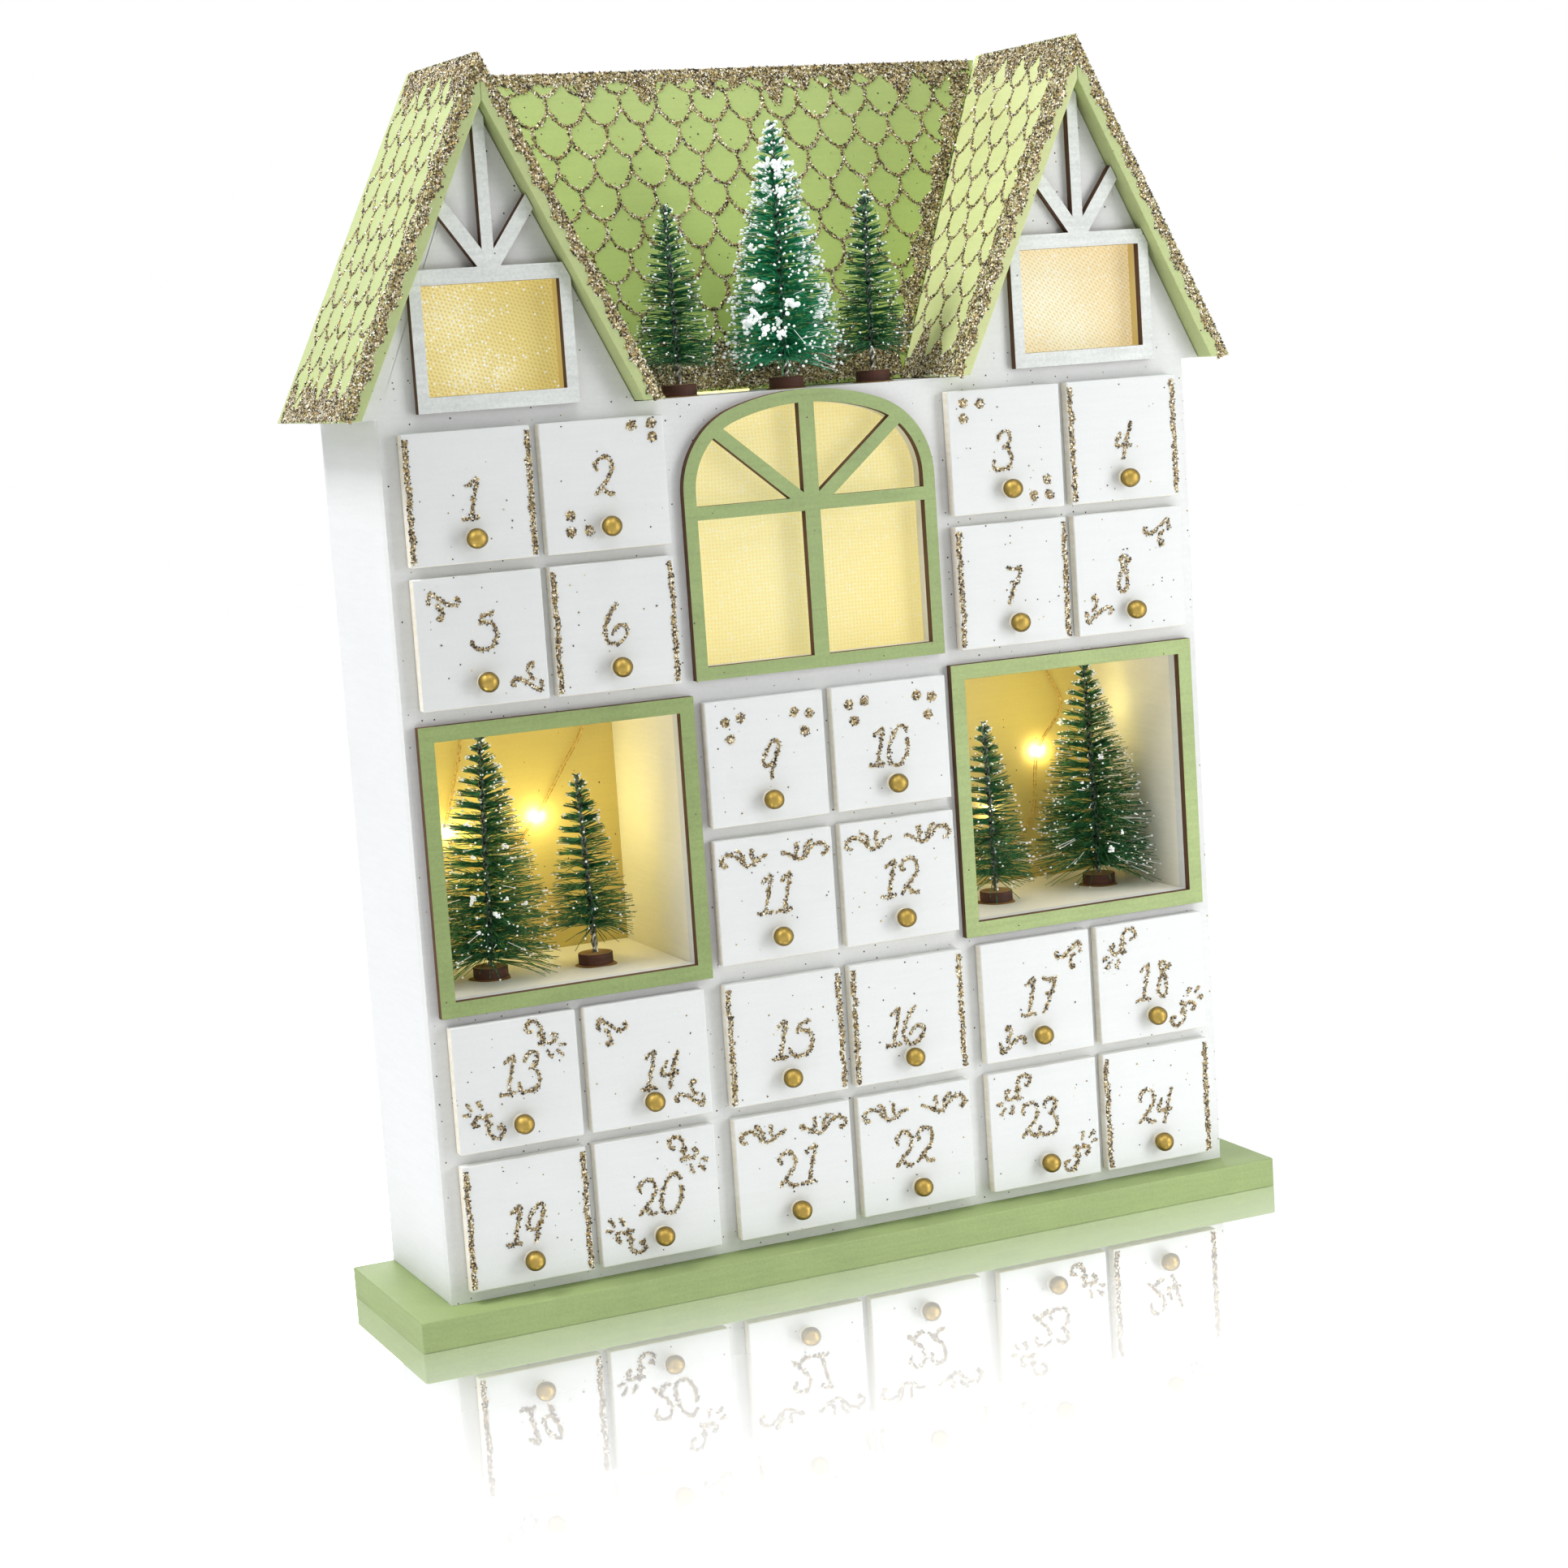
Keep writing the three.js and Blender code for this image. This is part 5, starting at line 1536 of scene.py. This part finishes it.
def addClump(shape, tree, start, axis, long, draw):  # several lumps of frosting that ran together
    share = 0.1 + draw.random() ** 1.15 * 0.72
    root = start + axis * (tree["clear"] + (long - tree["clear"]) * share)
    bearing = draw.uniform(math.pi, math.tau) if draw.random() < 0.8 else draw.uniform(0, math.pi)
    way = bristleWay(bearing, math.radians(2))
    reach = coneReach(tree, share) * draw.uniform(0.62, 0.98)
    middle = root + way * reachInside(tree, root, way, reach)
    wide = draw.uniform(0.7, 2.1) * (1 if tree["clumps"] > bush["manyClumps"] else 0.5)
    for _ in range(int(4 + wide * 6)):
        shift = Vector([draw.gauss(0, wide * part) for part in (0.55, 0.3, 0.5)])
        turned = (way + Vector([draw.gauss(0, 0.35) for _ in range(3)])).normalized()
        spot = middle + shift
        spot.z = max(spot.z, tree["foot"] + 1.2)
        spot.y = max(spot.y, rooms[tree["node"]][0][1] + 1)
        addDab(shape, spot, turned, draw.uniform(0.3, 0.75) * (0.5 + 0.4 * wide), draw.uniform(1.4, 3.4))


for name, tree in trees.items():
    makeTree(name, tree)


ledge = {"front": 4, "rounding": 0.2}
gapLight = {"left": -27, "right": -6, "front": -0.8, "back": -0.1, "foot": -0.3, "top": 0.45, "rounding": 0.3}


def makeBoard(name, low, high, material, node):
    board = Shape()
    board.block(low, high)
    piece = board.make(name, [material], "house", "white_paint")
    roundEdges(piece, ledge["rounding"])
    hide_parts(node)


def makeFloors():
    for label, node in (("left", leftRoom), ("right", rightRoom)):
        low, high = boxOf(node)
        makeBoard(f"diorama_floor_{label}", low, (high.x, high.y, windowFoot), insidePaint, node)
    low, high = boxOf(ledgeRoom)
    back = boxOf("centre_rack")[1].y
    makeBoard("roof_ledge", (low.x, ledge["front"], low.z), (high.x, back, ledgeTop), whitePaint, ledgeRoom)


def makeGapLight():  # painted light: a glowing block stands for the lamps' light seen below the foot of the centre roof
    roofFoot = boxOf("centre_roof")[0]
    slit = Shape()
    low = (gapLight["left"], roofFoot.y + gapLight["front"], roofFoot.z + gapLight["foot"])
    high = (gapLight["right"], roofFoot.y + gapLight["back"], roofFoot.z + gapLight["top"])
    slit.block(low, high)
    roundEdges(slit.make("light_gap_glow", [slitGlow], "house", "lit_fabric"), gapLight["rounding"])


makeFloors()
makeGapLight()
print("trees planted")


# Light string: the same way as on the part, with two lacquered strands

innerFace, bayTop = boxOf("back_panel")[0].y, boxOf("battery_box")[1].z
wireY = innerFace - 1.75
lampY = innerFace - 2.3
wireRoute = [
    (-26, innerFace - 8, bayTop + 0.5), (-27, innerFace - 6, bayTop + 8), (-36, wireY, 258),
    (-60, wireY, 270), (-88, wireY, 282), (-98, wireY, 298), (-105.5, 48, 318, "lamp"),
    (-114, wireY - 1, 300), (-117, wireY, 284), (-114, wireY, 240), (-108, wireY, 206),
    (-107.6, wireY, 186), (-112.5, wireY, 166), (-115.3, lampY, 154.5, "lamp"), (-109, wireY, 143),
    (-98, wireY, 141), (-83.4, lampY, 156, "lamp"), (-72, wireY, 172), (-63.5, wireY, 186),
    (-61, wireY, 206), (-54, wireY, 222), (-45.4, wireY, 232), (-43.6, innerFace - 6, 242), (-38, 34, 252),
    (-20, 28, 258, "lamp"), (0, 32, 266), (20, 28, 258, "lamp"), (36, 40, 266), (38, wireY - 1, 284),
    (30, wireY - 1, 300), (8, 50, 302), (-14, 43, 301, "lamp"), (-22, 43, 307), (-10, 47, 315),
    (28, wireY - 2, 313), (44, wireY, 298), (50, wireY, 284), (66, wireY, 272), (90, wireY, 280),
    (98, wireY, 298), (105.5, 48, 318, "lamp"), (114, wireY - 1, 300), (120, wireY, 284), (119, wireY, 240),
    (117, wireY, 206), (117.5, wireY, 186), (122.5, wireY, 172), (111.5, lampY, 156, "lamp"),
    (108.4, wireY, 134), (98, wireY, 124), (91, lampY, 137, "lamp"),
]
lighting = {
    "strand": 0.2,
    "spacing": 0.42,
    "twist": 16.0,
    "bead": 1.9,
    "beadWide": 0.8,
    "beadProfile": ((-1, 0.1), (-0.85, 0.5), (-0.4, 0.85), (0.1, 0.95), (0.6, 0.7), (0.9, 0.35), (1, 0.1)),
    "colour": (1.0, 0.86, 0.36),
    "halo": 0.0026,
    "glow": 0.016,
    # Each with its X, its distance from the back panel, its Z and its share of the power above
    "halos": [(-112.7, 1.5, 154.5, 1), (-80.8, 1.5, 156, 1), (114.1, 1.5, 156, 1.3)],
    "glows": [(-115.3, 20, 154.5, 1), (-83.4, 20, 156, 0.9), (103, 22, 169, 0.55), (126, 22, 173, 0.16)],
}


def makeWire():
    line = throughPoints([p[:3] for p in wireRoute], 0.9)
    travelled = [0.0]
    for a, b in zip(line, line[1:]):
        travelled.append(travelled[-1] + (b - a).length)
    shape = Shape()
    for strand in (0, math.pi):
        path = []
        for k, point in enumerate(line):
            ahead = headingAt(line, k)
            side = ahead.cross(Vector((0, 1, 0))).normalized()
            turn = strand + 0.5 * math.sin(travelled[k] / lighting["twist"])
            path.append(point + around(side, ahead.cross(side), [turn])[0] * lighting["spacing"])
        shape.rings(tubeLoops(path, lighting["strand"]))
    wire = shape.make("light_wire", [lightWire], "house", "wire", smooth=True)
    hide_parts("light_string")


def makeBeads():
    beads = Shape()
    size = lighting["bead"]
    for x, y, z, _ in (p for p in wireRoute if len(p) > 3):
        loops = []
        for height, share in lighting["beadProfile"]:
            wheel = around(Vector((1, 0, 0)), Vector((0, 1, 0)), evenTurns(14))
            middle = Vector((x, y, z + size * height))
            loops.append([middle + way * size * share * lighting["beadWide"] for way in wheel])
        beads.rings(loops)
    piece = beads.make("lamp_beads", [ledGlow], "house", "wire", smooth=True)
    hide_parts("light_string")


def makeGlows():
    for kind in ("halo", "glow"):
        for k, (x, stand, z, share) in enumerate(lighting[kind + "s"]):
            data = bpy.data.lights.new(f"lamp {kind} {k}", "POINT")
            data.energy = lighting[kind] * share
            data.color = lighting["colour"]
            data.shadow_soft_size = 0.0008
            item = intoScene(f"lamp {kind} {k}", data)
            item.visible_camera = item.visible_glossy = False  # only the beads themselves are seen
            item.location = at(x, innerFace - stand, z)


makeWire()
makeBeads()
makeGlows()
print("light string laid")
